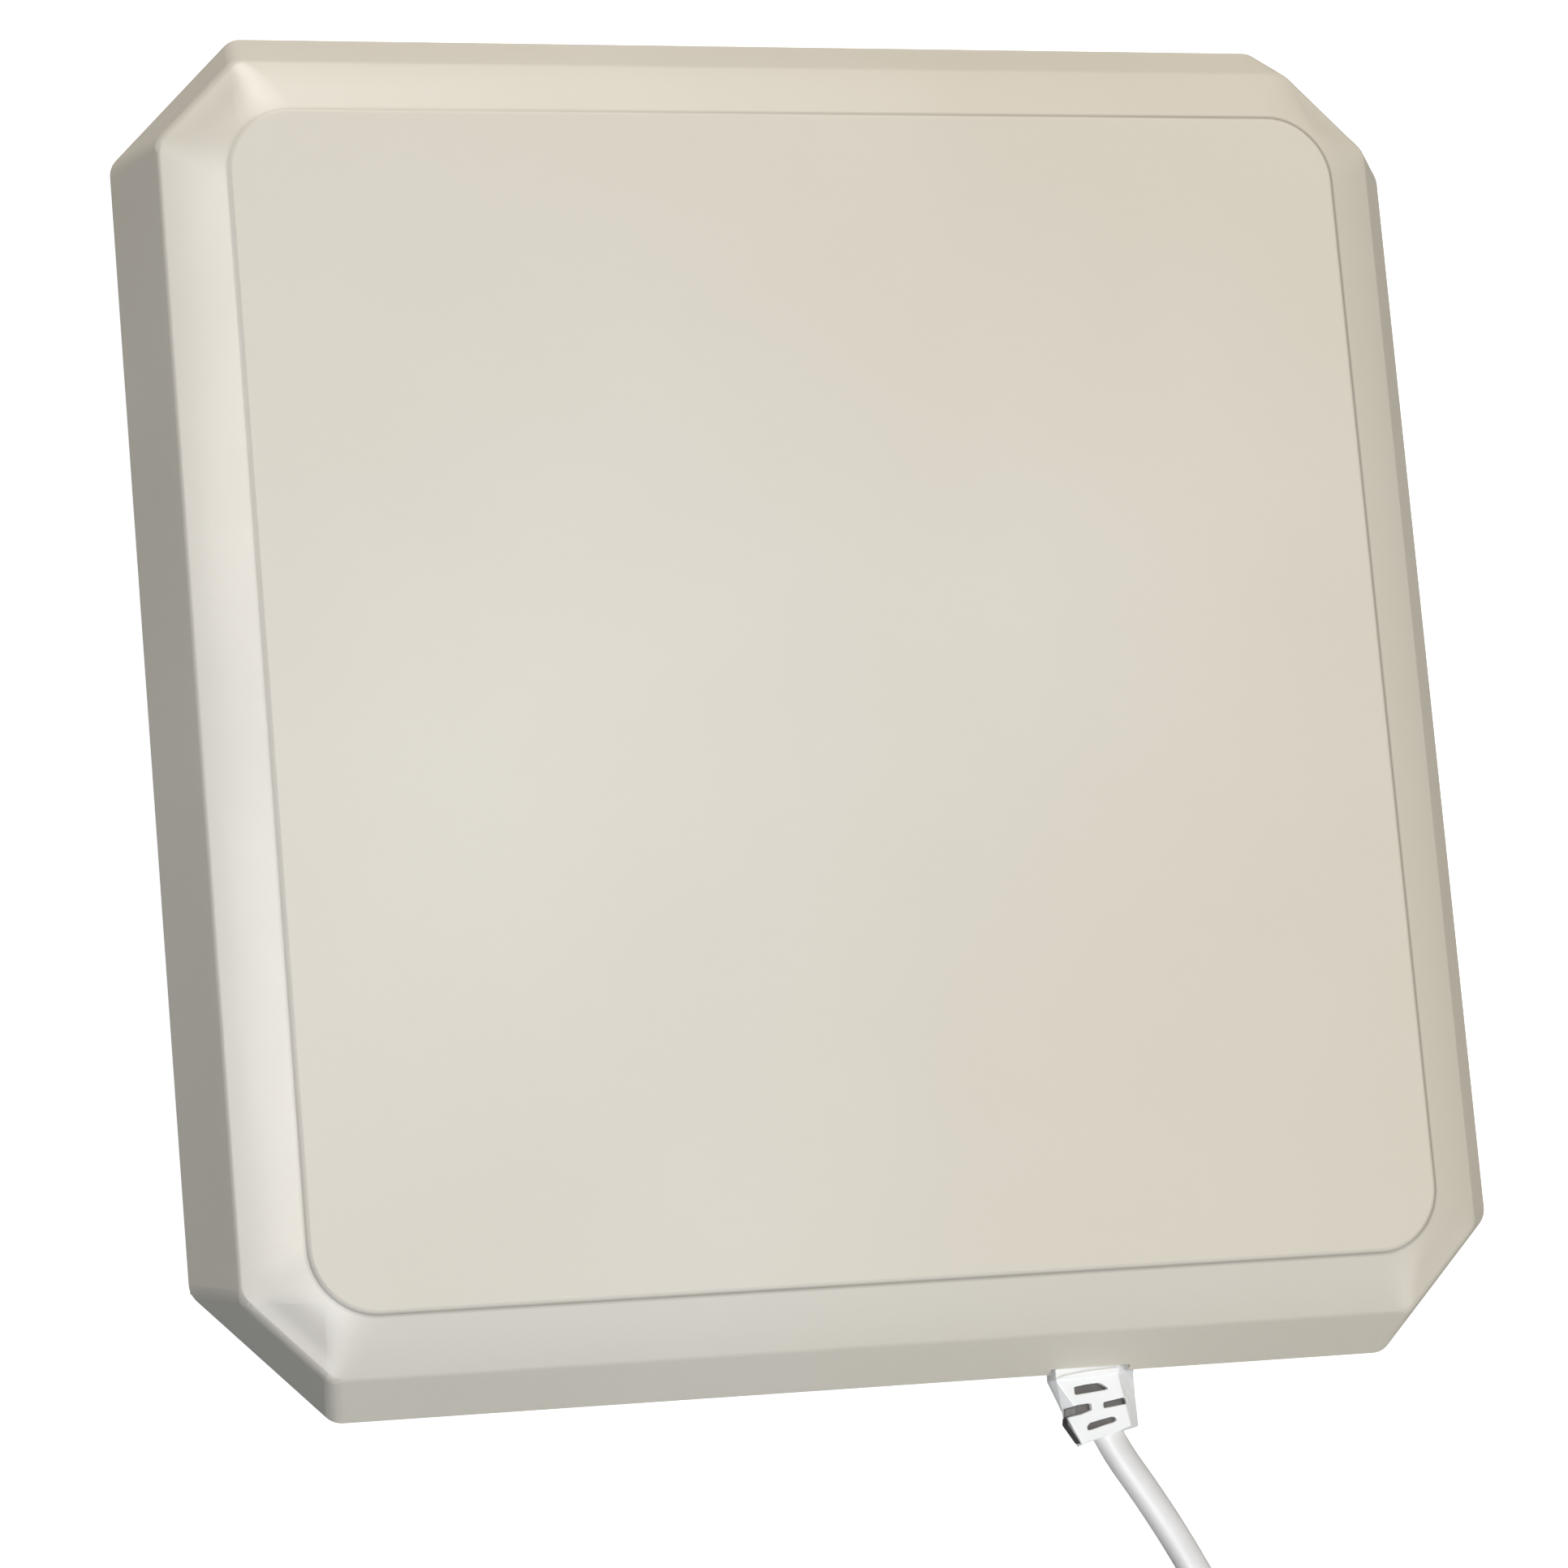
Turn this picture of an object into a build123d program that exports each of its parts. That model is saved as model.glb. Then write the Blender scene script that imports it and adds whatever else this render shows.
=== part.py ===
# Flat panel antenna of a retail security gate: a cut-corner moulded cover over a shallow rear tray,
# with the radiating patch and its feed inside, and a captive lead that ends in a threaded coaxial plug.
# Millimetres. The panel lies on its back: +Z points out of the face, the lead leaves the -Y wall,
# and the origin is the centre of the rear face.

from build123d import *
from math import cos, hypot, pi, radians, sin, tan
import os

os.makedirs("parts", exist_ok=True)

# ---------------------------------------------------------------- driving dimensions
PANEL = 260.0  # across the rim, both ways
RIM_Z = 11.0  # depth of the rear tray, up to the rim of the cover
WALL_RISE, WALL_INSET = 9.5, 7.0  # sloping side wall above the rim
BEVEL_RISE, BEVEL_INSET = 6.8, 10.9  # rounded band between the wall and the face
STEP_RISE, STEP_INSET = 0.7, 0.9  # raised face panel
RIM_CUT, EDGE_CUT, FOOT_CUT = 25.0, 15.5, 7.62  # corner cuts at the rim, the top of the wall and the face
WALL_RADIUS, FOOT_RADIUS = 4.5, 12.7  # radii that take the corners off each cut
BAND_SECTIONS = [(2.9, 4.1, 13.0, 9.0), (5.0, 7.5, 10.0, 12.0)]  # rise, inset, cut and radius between them
COVER_T = 2.2
SHOULDER_FILLET, STEP_FILLET = 3.0, 0.45

TRAY_T, TRAY_WALL_T, TRAY_INSET = 2.5, 2.7, 5.0
FLANGE_T, FLANGE_INSET = 2.5, 0.8  # ledge that the rim of the cover sits on
TONGUE_RISE, TONGUE_T = 3.5, 2.0  # locating lip inside the cover
SEAL_RISE, SEAL_T = 1.6, 1.4

BOSS_Z, BOSS_R, PILOT_R, PILOT_DEPTH = 8.0, 3.75, 1.25, 7.0
POST_R, HEAD_WELL_R, HEAD_WELL, CLEAR_R = 4.5, 3.1, 3.6, 1.7

MOUNT_PITCH = 100.0  # rear fixing square
INSERT_R, INSERT_BORE_R, INSERT_LEN, INSERT_BOSS_R, INSERT_BOSS_Z = 3.75, 2.5, 8.0, 6.5, 10.0
PLATE_Z, PLATE_T, PLATE_HALF, PLATE_CUT = 11.5, 1.5, 111.0, 34.0
PATCH_GAP, PATCH_T, PATCH_HALF, PATCH_CUT = 7.0, 1.0, 71.0, 14.0
BOARD_Z, BOARD_T, BOARD_X, BOARD_Y = 4.6, 1.6, 80.0, 64.0
TRACK_T, TRACK_W = 0.1, 3.0
PROBE_R, PROBE_OFFSET, PROBE_TAIL, PROBE_TIP = 0.8, 24.0, 0.6, 1.0
BUSH_R, BUSH_LIP, BUSH_HEAD = 3.0, 1.0, 0.8
M3_R, M3_CLEAR_R, SCREW_GAP = 1.5, 1.65, 0.05
COVER_HEAD, PLATE_HEAD, M3_HEAD, SMALL_HEAD = (2.8, 2.3), (2.7, 1.9), (2.8, 2.0), (2.2, 1.5)  # radius, height
COVER_SHANK, PLATE_SHANK, BOARD_SHANK, CLAMP_SHANK = 10.5, 8.0, 4.2, 4.8
STANDOFF_R, POST_SPACER_R, NUT_CORNER_R, NUT_H = 4.2, 4.0, 3.1, 2.4

CORD_D = 5.9
CORE_R, CONDUCTOR_R = 1.9, 0.7
CORD_X, CORD_Z = 44.4, 7.6  # axis of the lead where it passes through the tray wall
CORE_X, CORE_Y = 22.0, -34.5  # where its jacket stops, beside the feed board

COIL_X, COIL_Y = 36.5, -222.0
COIL_OUTER, COIL_INNER = 43.5, 25.5  # radii of the outermost and innermost turns
TIE_W, TIE_T = 5.0, 0.9
TIE_HEAD, TIE_HEAD_IN = (6.0, 8.0, 3.2), 6.0  # lock of the tie, and how far in from the coil's edge it sits

PLUG_X, PLUG_Y, PLUG_Z = -22.0, -264.5, 7.6  # where the lead enters the plug, which points along -X
NUT_R, NUT_START, NUT_END = 7.3, 9.0, 24.0  # distances along the plug from the end of the lead

# ---------------------------------------------------------------- derived dimensions
CORD_R = CORD_D / 2
HALF = PANEL / 2
EDGE_Z, EDGE_HALF = RIM_Z + WALL_RISE, HALF - WALL_INSET
FOOT_Z, FOOT_HALF = EDGE_Z + BEVEL_RISE, EDGE_HALF - BEVEL_INSET
TOP_Z, FACE_HALF = FOOT_Z + STEP_RISE, FOOT_HALF - STEP_INSET
TRAY_HALF = HALF - TRAY_INSET
TRAY_INNER = TRAY_HALF - TRAY_WALL_T
PLATE_TOP = PLATE_Z + PLATE_T
PATCH_Z = PLATE_TOP + PATCH_GAP
PATCH_TOP = PATCH_Z + PATCH_T
BOARD_TOP = BOARD_Z + BOARD_T
TRACK_TOP = BOARD_TOP + TRACK_T
BASE = (Align.CENTER, Align.CENTER, Align.MIN)
TOP = (Align.CENTER, Align.CENTER, Align.MAX)
MITRE = 2 - 2**0.5  # a corner cut shrinks by this much for each millimetre of inset

SQUARE = [(-1, -1), (1, -1), (1, 1), (-1, 1)]
COVER_SCREWS = [(105 * x, 105 * y) for x, y in SQUARE] + [(118, 0), (0, 118), (-118, 0), (0, -118)]
PLATE_SCREWS = [(66 * x, 100 * y) for x, y in SQUARE] + [(100 * x, 66 * y) for x, y in SQUARE]
INSERTS = [(MOUNT_PITCH / 2 * x, MOUNT_PITCH / 2 * y) for x, y in SQUARE]
STANDOFFS = [(60 * x, 60 * y) for x, y in SQUARE]
PATCH_SCREWS = STANDOFFS + [(0, 0)]
BOARD_SCREWS = [(34 * x, 26 * y) for x, y in SQUARE]
PROBES = [(0, PROBE_OFFSET), (PROBE_OFFSET, 0)]
CLAMP_Y, CLAMP_PITCH, CLAMP_W, CLAMP_T = -115.0, 17.0, 6.0, 1.6
CLAMP_SCREWS = [(CORD_X + CLAMP_PITCH / 2 * side, CLAMP_Y) for side in (-1, 1)]
CLAMP_Z = 5.0


# ---------------------------------------------------------------- helpers
def place(points, z):
    """Locations for a group of equal pieces at one height."""
    return Locations(*[(x, y, z) for x, y in points])


def cut_square(half, cut):
    """A square with straight cut corners, added to the sketch that is open."""
    corners = []
    for x, y in SQUARE:
        pair = [(x * half, y * (half - cut)), (x * (half - cut), y * half)]
        corners += pair if x * y > 0 else pair[::-1]
    return Polygon(*corners, align=None)


def inset_square(inset):
    """The rim outline of the cover, moved in by inset all round."""
    return cut_square(HALF - inset, RIM_CUT - MITRE * inset)


def pan_screws(points, seat_z, up, head, shank_r, shank):
    """Cross-recessed pan-head screws whose heads sit on seat_z. up is 1 for heads on top, else -1."""
    away, into = (BASE, TOP) if up > 0 else (TOP, BASE)
    head_r, head_h = head
    side_h, dome_h, slot = head_h * 0.55, head_h * 0.45, head_r * 0.24
    radii = (head_r, head_r * 0.6) if up > 0 else (head_r * 0.6, head_r)
    with place(points, seat_z):
        Cylinder(head_r, side_h, align=away)
        Cylinder(shank_r, shank, align=into)
    with place(points, seat_z + up * side_h):
        Cone(*radii, dome_h, align=away)
    with place(points, seat_z + up * head_h):
        Box(head_r, slot, head_h, mode=Mode.SUBTRACT)
        Box(slot, head_r, head_h, mode=Mode.SUBTRACT)


def arc_radii(points):
    """The arc at each corner of a route: 0.45 of its shorter run, over the tangent of half its turn."""
    radii = []
    for before, corner, after in zip(points, points[1:], points[2:]):
        run_in, run_out = Vector(*corner) - Vector(*before), Vector(*after) - Vector(*corner)
        half_turn = radians(run_in.get_angle(run_out)) / 2
        radii.append(0.45 * min(run_in.length, run_out.length) / tan(half_turn))
    return radii


def save(builder, name):
    """Labels a finished piece and writes it as its own STEP file."""
    builder.part.label = name
    export_step(builder.part, f"parts/{name}.step")


# ---------------------------------------------------------------- front cover
def inset_corner(run_a, rise_a, run_b, rise_b, t):
    """How far in and down a wall of thickness t moves the corner between two bands of a profile."""
    a, b = hypot(run_a, rise_a), hypot(run_b, rise_b)
    in_a, down_a, in_b, down_b = rise_a / a, run_a / a, rise_b / b, run_b / b
    scale = t / (1 + in_a * in_b + down_a * down_b)
    return (in_a + in_b) * scale, (down_a + down_b) * scale


RIM_IN = COVER_T * hypot(WALL_INSET, WALL_RISE) / WALL_RISE
SHOULDER_IN, SHOULDER_DOWN = inset_corner(WALL_INSET, WALL_RISE, BEVEL_INSET, BEVEL_RISE, COVER_T)
FOOT_IN, FOOT_DOWN = inset_corner(BEVEL_INSET, BEVEL_RISE, 1, 0, COVER_T)
INNER_EDGE_Z = EDGE_Z - SHOULDER_DOWN

# Outlines of the outside at its levels, each a height, half width, corner cut and radius.
RIM_LEVEL = (RIM_Z, HALF, RIM_CUT, WALL_RADIUS)
EDGE_LEVEL = (EDGE_Z, EDGE_HALF, EDGE_CUT, WALL_RADIUS)
FOOT_LEVEL = (FOOT_Z, FOOT_HALF, FOOT_CUT, FOOT_RADIUS)
TOP_LEVEL = (TOP_Z, FACE_HALF, FOOT_CUT - MITRE * STEP_INSET, FOOT_RADIUS - STEP_INSET)
BAND_LEVELS = [(EDGE_Z + rise, EDGE_HALF - inset, cut, radius) for rise, inset, cut, radius in BAND_SECTIONS]

with BuildPart() as outer_form:
    for levels in ([RIM_LEVEL, EDGE_LEVEL], [EDGE_LEVEL, *BAND_LEVELS, FOOT_LEVEL], [FOOT_LEVEL, TOP_LEVEL]):
        for level_z, half, cut, radius in levels:
            with BuildSketch(Plane.XY.offset(level_z)) as level:
                cut_square(half, cut)
                fillet(level.vertices(), radius)
        loft(ruled=len(levels) == 2)
    fillet(outer_form.edges().filter_by_position(Axis.Z, EDGE_Z - 0.05, EDGE_Z + 0.05), SHOULDER_FILLET)
    fillet(outer_form.faces().sort_by(Axis.Z)[-1].edges(), STEP_FILLET)

with BuildPart() as inner_form:
    with BuildSketch(Plane.XY.offset(RIM_Z)):
        inset_square(RIM_IN)
    with BuildSketch(Plane.XY.offset(INNER_EDGE_Z)):
        cut_square(EDGE_HALF - SHOULDER_IN, EDGE_CUT - MITRE * SHOULDER_IN)
    loft(ruled=True)
    with BuildSketch(Plane.XY.offset(INNER_EDGE_Z)):
        cut_square(EDGE_HALF - SHOULDER_IN, EDGE_CUT - MITRE * SHOULDER_IN)
    with BuildSketch(Plane.XY.offset(FOOT_Z - FOOT_DOWN)):
        RectangleRounded(2 * (FOOT_HALF - FOOT_IN), 2 * (FOOT_HALF - FOOT_IN), FOOT_RADIUS - FOOT_IN)
    loft(ruled=True)
    with BuildSketch(Plane.XY.offset(FOOT_Z - FOOT_DOWN)):
        pocket_half = FACE_HALF - COVER_T
        RectangleRounded(2 * pocket_half, 2 * pocket_half, FOOT_RADIUS - STEP_INSET - COVER_T)
    extrude(amount=STEP_RISE)

with BuildPart() as boss_form:
    with place(COVER_SCREWS, RIM_Z - 1):
        Cylinder(BOSS_R, TOP_Z, align=BASE)
    add(outer_form.part.moved(Location((0, 0, -COVER_T / 2))), mode=Mode.INTERSECT)

# ---------------------------------------------------------------- strain relief and lead route
# Each section of the moulded relief is (x, y, turn from -Y towards +X in degrees, left and right reach
# at the top, the widest level and the bottom, and the heights of those three levels).
RELIEF_SECTIONS = [
    (CORD_X, -TRAY_INNER, 0, (-8.6, 5.6), (-9.0, 10.2), (-6.2, 6.6), (12.2, 8.2, 3.6)),
    (CORD_X, -HALF, 0, (-8.3, 5.6), (-8.5, 10.0), (-5.8, 6.2), (12.2, 8.2, 3.6)),
    (48.0, -142.0, 16, (-7.7, 3.0), (-7.4, 6.6), (-4.6, 4.1), (11.6, 8.0, 3.9)),
]
RELIEF_FLANGE = (22.0, 2.8, 9.7)  # plate that hooks behind the tray wall
WINDOWS = [(39.8, 46.8, -133.1, 4, 1.6), (41.9, 48.1, -139.8, 13, 1.1)]  # low x, high x, y, turn, width
NOTCH_Y, NOTCH_TURN, NOTCH_W, NOTCH_RIB = -136.4, 9, 1.3, (43.1, 45.5)
WINDOW_FLOOR, NOTCH_FLOOR = CORD_Z + CORD_R + 0.1, 9.7

# Lead from the tray wall, through the relief, down to the floor and into the coil.
LEAD_ROUTE = [
    (44.4, -123.4, 7.6),
    (44.4, -130.0, 7.6),
    (45.8, -137.4, 7.6),
    (48.9, -144.8, 7.6),
    (54.4, -153.1, 7.3),
    (60.4, -162.3, 5.9),
    (66.3, -172.1, 3.85),
    (72.4, -183.5, 2.95),
    (77.6, -198.6, 2.95),
    (79.7, -216.5, 2.95),
    (78.7, -232.0, 2.95),
]
# Lead from the top of the coil to the plug.
END_ROUTE = [
    (47.8, -264.0, 8.85),
    (32.0, -266.3, 8.85),
    (14.0, -266.2, 8.4),
    (-4.0, -264.5, 7.6),
    (-22.0, -264.5, 7.6),
]
# Captive stretch inside the housing, from the feed board to the tray wall.
FEED_ROUTE = [
    (CORE_X, CORE_Y, CORD_Z),
    (22.0, -52.0, CORD_Z),
    (33.0, -76.0, CORD_Z),
    (44.4, -98.0, CORD_Z),
    (44.4, -123.4, CORD_Z),
]


def relief_section(section):
    """One cut through the strain relief, square to the lead."""
    x, y, turn, top, wide, low, (top_z, wide_z, low_z) = section
    across = (cos(radians(turn)), sin(radians(turn)), 0)
    plane = Plane(origin=(x, y, 0), x_dir=across, z_dir=(across[1], -across[0], 0))
    points = [(top[0], top_z), (top[1], top_z), (wide[1], wide_z), (low[1], low_z), (low[0], low_z)]
    points.append((wide[0], wide_z))
    return plane, points


with BuildPart() as relief_form:
    for section in RELIEF_SECTIONS:
        section_plane, outline = relief_section(section)
        with BuildSketch(section_plane):
            Polygon(*outline, align=None)
    loft(ruled=True)

with BuildPart() as feed_cable:
    with BuildLine():
        feed_path = FilletPolyline(*FEED_ROUTE, radius=arc_radii(FEED_ROUTE))
    with BuildSketch(feed_path ^ 0):
        Circle(CORD_R)
    sweep(path=feed_path)

with BuildPart() as lead:
    with BuildLine():
        lead_path = FilletPolyline(*LEAD_ROUTE, radius=arc_radii(LEAD_ROUTE))
    with BuildSketch(lead_path ^ 0):
        Circle(CORD_R)
    sweep(path=lead_path)

with BuildPart() as lead_end:
    with BuildLine():
        end_path = FilletPolyline(*END_ROUTE, radius=arc_radii(END_ROUTE))
    with BuildSketch(end_path ^ 0):
        Circle(CORD_R)
    sweep(path=end_path)

with BuildPart() as strain_relief:
    add(relief_form.part)
    with Locations((CORD_X, -TRAY_INNER, TRAY_T)):
        Box(*RELIEF_FLANGE, align=(Align.CENTER, Align.MIN, Align.MIN))
    for low_x, high_x, y, turn, width in WINDOWS:
        with Locations(Location(((low_x + high_x) / 2, y, WINDOW_FLOOR), (0, 0, turn))):
            Box(high_x - low_x, width, RIM_Z, align=BASE, mode=Mode.SUBTRACT)
    for x, side in zip(NOTCH_RIB, (Align.MAX, Align.MIN)):
        with Locations(Location((x, NOTCH_Y, NOTCH_FLOOR), (0, 0, NOTCH_TURN))):
            Box(RIM_Z, NOTCH_W, RIM_Z, align=(side, Align.CENTER, Align.MIN), mode=Mode.SUBTRACT)
    add(feed_cable.part, mode=Mode.SUBTRACT)
    add(lead.part, mode=Mode.SUBTRACT)

# ---------------------------------------------------------------- housing
RELIEF_GAP = 0.1
RELIEF_LEFT = CORD_X + RELIEF_SECTIONS[0][4][0] - RELIEF_GAP
RELIEF_RIGHT = CORD_X + RELIEF_SECTIONS[0][4][1] + RELIEF_GAP
RELIEF_TOP_Z, RELIEF_WIDE_Z, _ = RELIEF_SECTIONS[0][6]
NOTCH_RIGHT = 7.2  # reach of the relief at the height of the rim
REAR = Plane.XY.rotated((180, 0, 0))
LABEL_W, LABEL_H, LABEL_Y, LABEL_T, LABEL_DEEP = 64.0, 34.0, -84.0, 0.2, 0.25
LABEL_RADIUS, LABEL_GAP = 2.0, 0.5
PLATE_BOSS_R, SMALL_BOSS_R, SMALL_PILOT_R, SMALL_SHANK_R = 4.0, 3.0, 1.06, 1.0
RIB_X, RIB_LEN, RIB_T, RIB_H = 82.0, 150.0, 1.8, 4.0

with BuildPart() as front_cover:
    add(outer_form.part)
    add(inner_form.part, mode=Mode.SUBTRACT)
    add(boss_form.part)
    with place(COVER_SCREWS, BOSS_Z):
        Cylinder(BOSS_R, RIM_Z + 1 - BOSS_Z, align=BASE)
        Cylinder(PILOT_R + SCREW_GAP, PILOT_DEPTH, align=BASE, mode=Mode.SUBTRACT)
    with Locations((CORD_X + NOTCH_RIGHT, -HALF - 1, BOSS_Z)):
        notch_w, notch_h = CORD_X + NOTCH_RIGHT - RELIEF_LEFT, RELIEF_TOP_Z + RELIEF_GAP - BOSS_Z
        Box(notch_w, TRAY_INSET, notch_h, align=(Align.MAX, Align.MIN, Align.MIN), mode=Mode.SUBTRACT)

with BuildPart() as rear_tray:
    with BuildSketch():
        inset_square(TRAY_INSET)
    extrude(amount=RIM_Z)
    with BuildSketch(Plane.XY.offset(RIM_Z - FLANGE_T)):
        inset_square(FLANGE_INSET)
    extrude(amount=FLANGE_T)
    with BuildSketch(Plane.XY.offset(RIM_Z)):
        inset_square(HALF - TRAY_INNER - TONGUE_T)
    extrude(amount=TONGUE_RISE)
    with BuildSketch(Plane.XY.offset(TRAY_T)):
        inset_square(HALF - TRAY_INNER)
    extrude(amount=RIM_Z + TONGUE_RISE - TRAY_T, mode=Mode.SUBTRACT)
    bosses = [(COVER_SCREWS, POST_R, BOSS_Z), (INSERTS, INSERT_BOSS_R, INSERT_BOSS_Z)]
    bosses += [(PLATE_SCREWS, PLATE_BOSS_R, PLATE_Z), (BOARD_SCREWS, SMALL_BOSS_R, BOARD_Z)]
    for points, radius, height in bosses + [(CLAMP_SCREWS, SMALL_BOSS_R, CLAMP_Z)]:
        with place(points, 0):
            Cylinder(radius, height, align=BASE)
    with Locations((CORD_X, CLAMP_Y, 0)):
        Box(CORD_D, CLAMP_W, CORD_Z - CORD_R - RELIEF_GAP, align=BASE)
    with Locations((-RIB_X, 0, 0), (RIB_X, 0, 0)):
        Box(RIB_T, RIB_LEN, TRAY_T + RIB_H, align=BASE)
    with Locations(REAR):
        with Locations(*COVER_SCREWS):
            CounterBoreHole(CLEAR_R, HEAD_WELL_R, HEAD_WELL, BOSS_Z)
        with Locations(*INSERTS):
            Hole(INSERT_R, INSERT_LEN)
    with place(PLATE_SCREWS, PLATE_Z):
        Hole(PILOT_R + SCREW_GAP, PILOT_DEPTH + 1)
    with place(BOARD_SCREWS, BOARD_Z):
        Hole(SMALL_PILOT_R, BOARD_Z - 1)
    with place(CLAMP_SCREWS, CLAMP_Z):
        Hole(SMALL_PILOT_R, CLAMP_Z - 1)
    with BuildSketch():
        with Locations((0, LABEL_Y)):
            RectangleRounded(LABEL_W + 2 * LABEL_GAP, LABEL_H + 2 * LABEL_GAP, LABEL_RADIUS + LABEL_GAP)
    extrude(amount=LABEL_DEEP, mode=Mode.SUBTRACT)
    add(relief_form.part, mode=Mode.SUBTRACT)
    with Locations((RELIEF_LEFT, -HALF, RELIEF_WIDE_Z)):
        slot = (RELIEF_RIGHT - RELIEF_LEFT, HALF - TRAY_INNER, RIM_Z)
        Box(*slot, align=Align.MIN, mode=Mode.SUBTRACT)

with BuildPart() as cover_seal:
    seal_inset = HALF - TRAY_INNER - TONGUE_T - 0.1
    with BuildSketch(Plane.XY.offset(RIM_Z)):
        inset_square(seal_inset - SEAL_T)
    extrude(amount=SEAL_RISE)
    with BuildSketch(Plane.XY.offset(RIM_Z)):
        inset_square(seal_inset)
    extrude(amount=SEAL_RISE, mode=Mode.SUBTRACT)
    with Locations((RELIEF_LEFT, -HALF, RIM_Z)):
        Box(*slot, align=Align.MIN, mode=Mode.SUBTRACT)

with BuildPart() as cover_screws:
    pan_screws(COVER_SCREWS, HEAD_WELL, -1, COVER_HEAD, PILOT_R, COVER_SHANK)

with BuildPart() as rating_label:
    with BuildSketch(Plane.XY.offset(LABEL_DEEP - LABEL_T)):
        with Locations((0, LABEL_Y)):
            RectangleRounded(LABEL_W, LABEL_H, LABEL_RADIUS)
    extrude(amount=LABEL_T)

with BuildPart() as mounting_inserts:
    with Locations(REAR):
        with Locations(*INSERTS):
            Cylinder(INSERT_R, INSERT_LEN, align=TOP)
            Hole(INSERT_BORE_R, INSERT_LEN)

# ---------------------------------------------------------------- radiating parts
with BuildPart() as ground_plate:
    with BuildSketch(Plane.XY.offset(PLATE_Z)):
        cut_square(PLATE_HALF, PLATE_CUT)
    extrude(amount=PLATE_T)
    with place(PLATE_SCREWS + PATCH_SCREWS, PLATE_TOP):
        Hole(M3_CLEAR_R, PLATE_T)
    with place(PROBES, PLATE_TOP):
        Hole(BUSH_R + SCREW_GAP, PLATE_T)

with BuildPart() as ground_plate_screws:
    pan_screws(PLATE_SCREWS, PLATE_TOP, 1, PLATE_HEAD, PILOT_R, PLATE_SHANK)

with BuildPart() as patch_element:
    with BuildSketch(Plane.XY.offset(PATCH_Z)):
        cut_square(PATCH_HALF, PATCH_CUT)
    extrude(amount=PATCH_T)
    with place(PATCH_SCREWS, PATCH_TOP):
        Hole(M3_CLEAR_R, PATCH_T)
    with place(PROBES, PATCH_TOP):
        Hole(PROBE_R + SCREW_GAP, PATCH_T)

with BuildPart() as patch_standoffs:
    with BuildSketch(Plane.XY.offset(PLATE_TOP)):
        with Locations(*STANDOFFS):
            RegularPolygon(STANDOFF_R, 6)
    extrude(amount=PATCH_GAP)
    with place(STANDOFFS, PATCH_Z):
        Hole(M3_CLEAR_R, PATCH_GAP)

with BuildPart() as centre_post:
    with Locations((0, 0, PLATE_TOP)):
        Cylinder(POST_SPACER_R, PATCH_GAP, align=BASE)
    with Locations((0, 0, PATCH_Z)):
        Hole(M3_CLEAR_R, PATCH_GAP)

with BuildPart() as patch_screws:
    pan_screws(PATCH_SCREWS, PATCH_TOP, 1, M3_HEAD, M3_R, PATCH_TOP - PLATE_Z + NUT_H - 0.2)

with BuildPart() as patch_nuts:
    with BuildSketch(Plane.XY.offset(PLATE_Z - NUT_H)):
        with Locations(*PATCH_SCREWS):
            RegularPolygon(NUT_CORNER_R, 6)
            Circle(M3_R + SCREW_GAP, mode=Mode.SUBTRACT)
    extrude(amount=NUT_H)

with BuildPart() as feed_probes:
    with place(PROBES, BOARD_Z - PROBE_TAIL):
        Cylinder(PROBE_R, PATCH_TOP - BOARD_Z + PROBE_TAIL + PROBE_TIP, align=BASE)

with BuildPart() as probe_bushes:
    with place(PROBES, PLATE_Z):
        Cylinder(BUSH_R, PLATE_T, align=BASE)
    with place(PROBES, PLATE_TOP):
        Cylinder(BUSH_R + BUSH_LIP, BUSH_HEAD, align=BASE)
        Cylinder(PROBE_R + SCREW_GAP, 2 * PLATE_T + 1, mode=Mode.SUBTRACT)

# ---------------------------------------------------------------- feed board
RING_HALF, RING_Y, PORT = 15.0, -2.0, 22.0
RING_TOP, RING_LOW = RING_Y + RING_HALF, RING_Y - RING_HALF
TRACKS = [
    [(-RING_HALF, RING_TOP), (RING_HALF, RING_TOP), (RING_HALF, RING_LOW), (-RING_HALF, RING_LOW)],
    [(-RING_HALF, RING_LOW), (-RING_HALF, PROBE_OFFSET), (0, PROBE_OFFSET)],
    [(RING_HALF, RING_TOP), (PROBE_OFFSET, RING_TOP), (PROBE_OFFSET, 0)],
    [(RING_HALF, RING_LOW), (CORE_X, RING_LOW), (CORE_X, -BOARD_Y / 2 + TRACK_W)],
    [(-RING_HALF, RING_LOW), (-PORT, RING_LOW)],
    [(-PORT - 5, RING_LOW), (-PORT - 10, RING_LOW)],
]
RESISTOR_X = -PORT - 2.5
RESISTOR = (6.4, 3.2, 1.0)
PAD_R = 2.6
CORE_LEN, CONDUCTOR_LEN = 2.2, 5.2
SOLDER_CONE, SOLDER_Y, SOLDER_PAD = (2.2, 1.2, 1.2), -28.6, (2.8, 3.6)

with BuildPart() as feed_board:
    with Locations((0, 0, BOARD_Z)):
        Box(BOARD_X, BOARD_Y, BOARD_T, align=BASE)
    with place(BOARD_SCREWS, BOARD_TOP):
        Hole(SMALL_SHANK_R + 0.2, BOARD_T)
    with place(PROBES, BOARD_TOP):
        Hole(PROBE_R + SCREW_GAP, BOARD_T)

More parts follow.
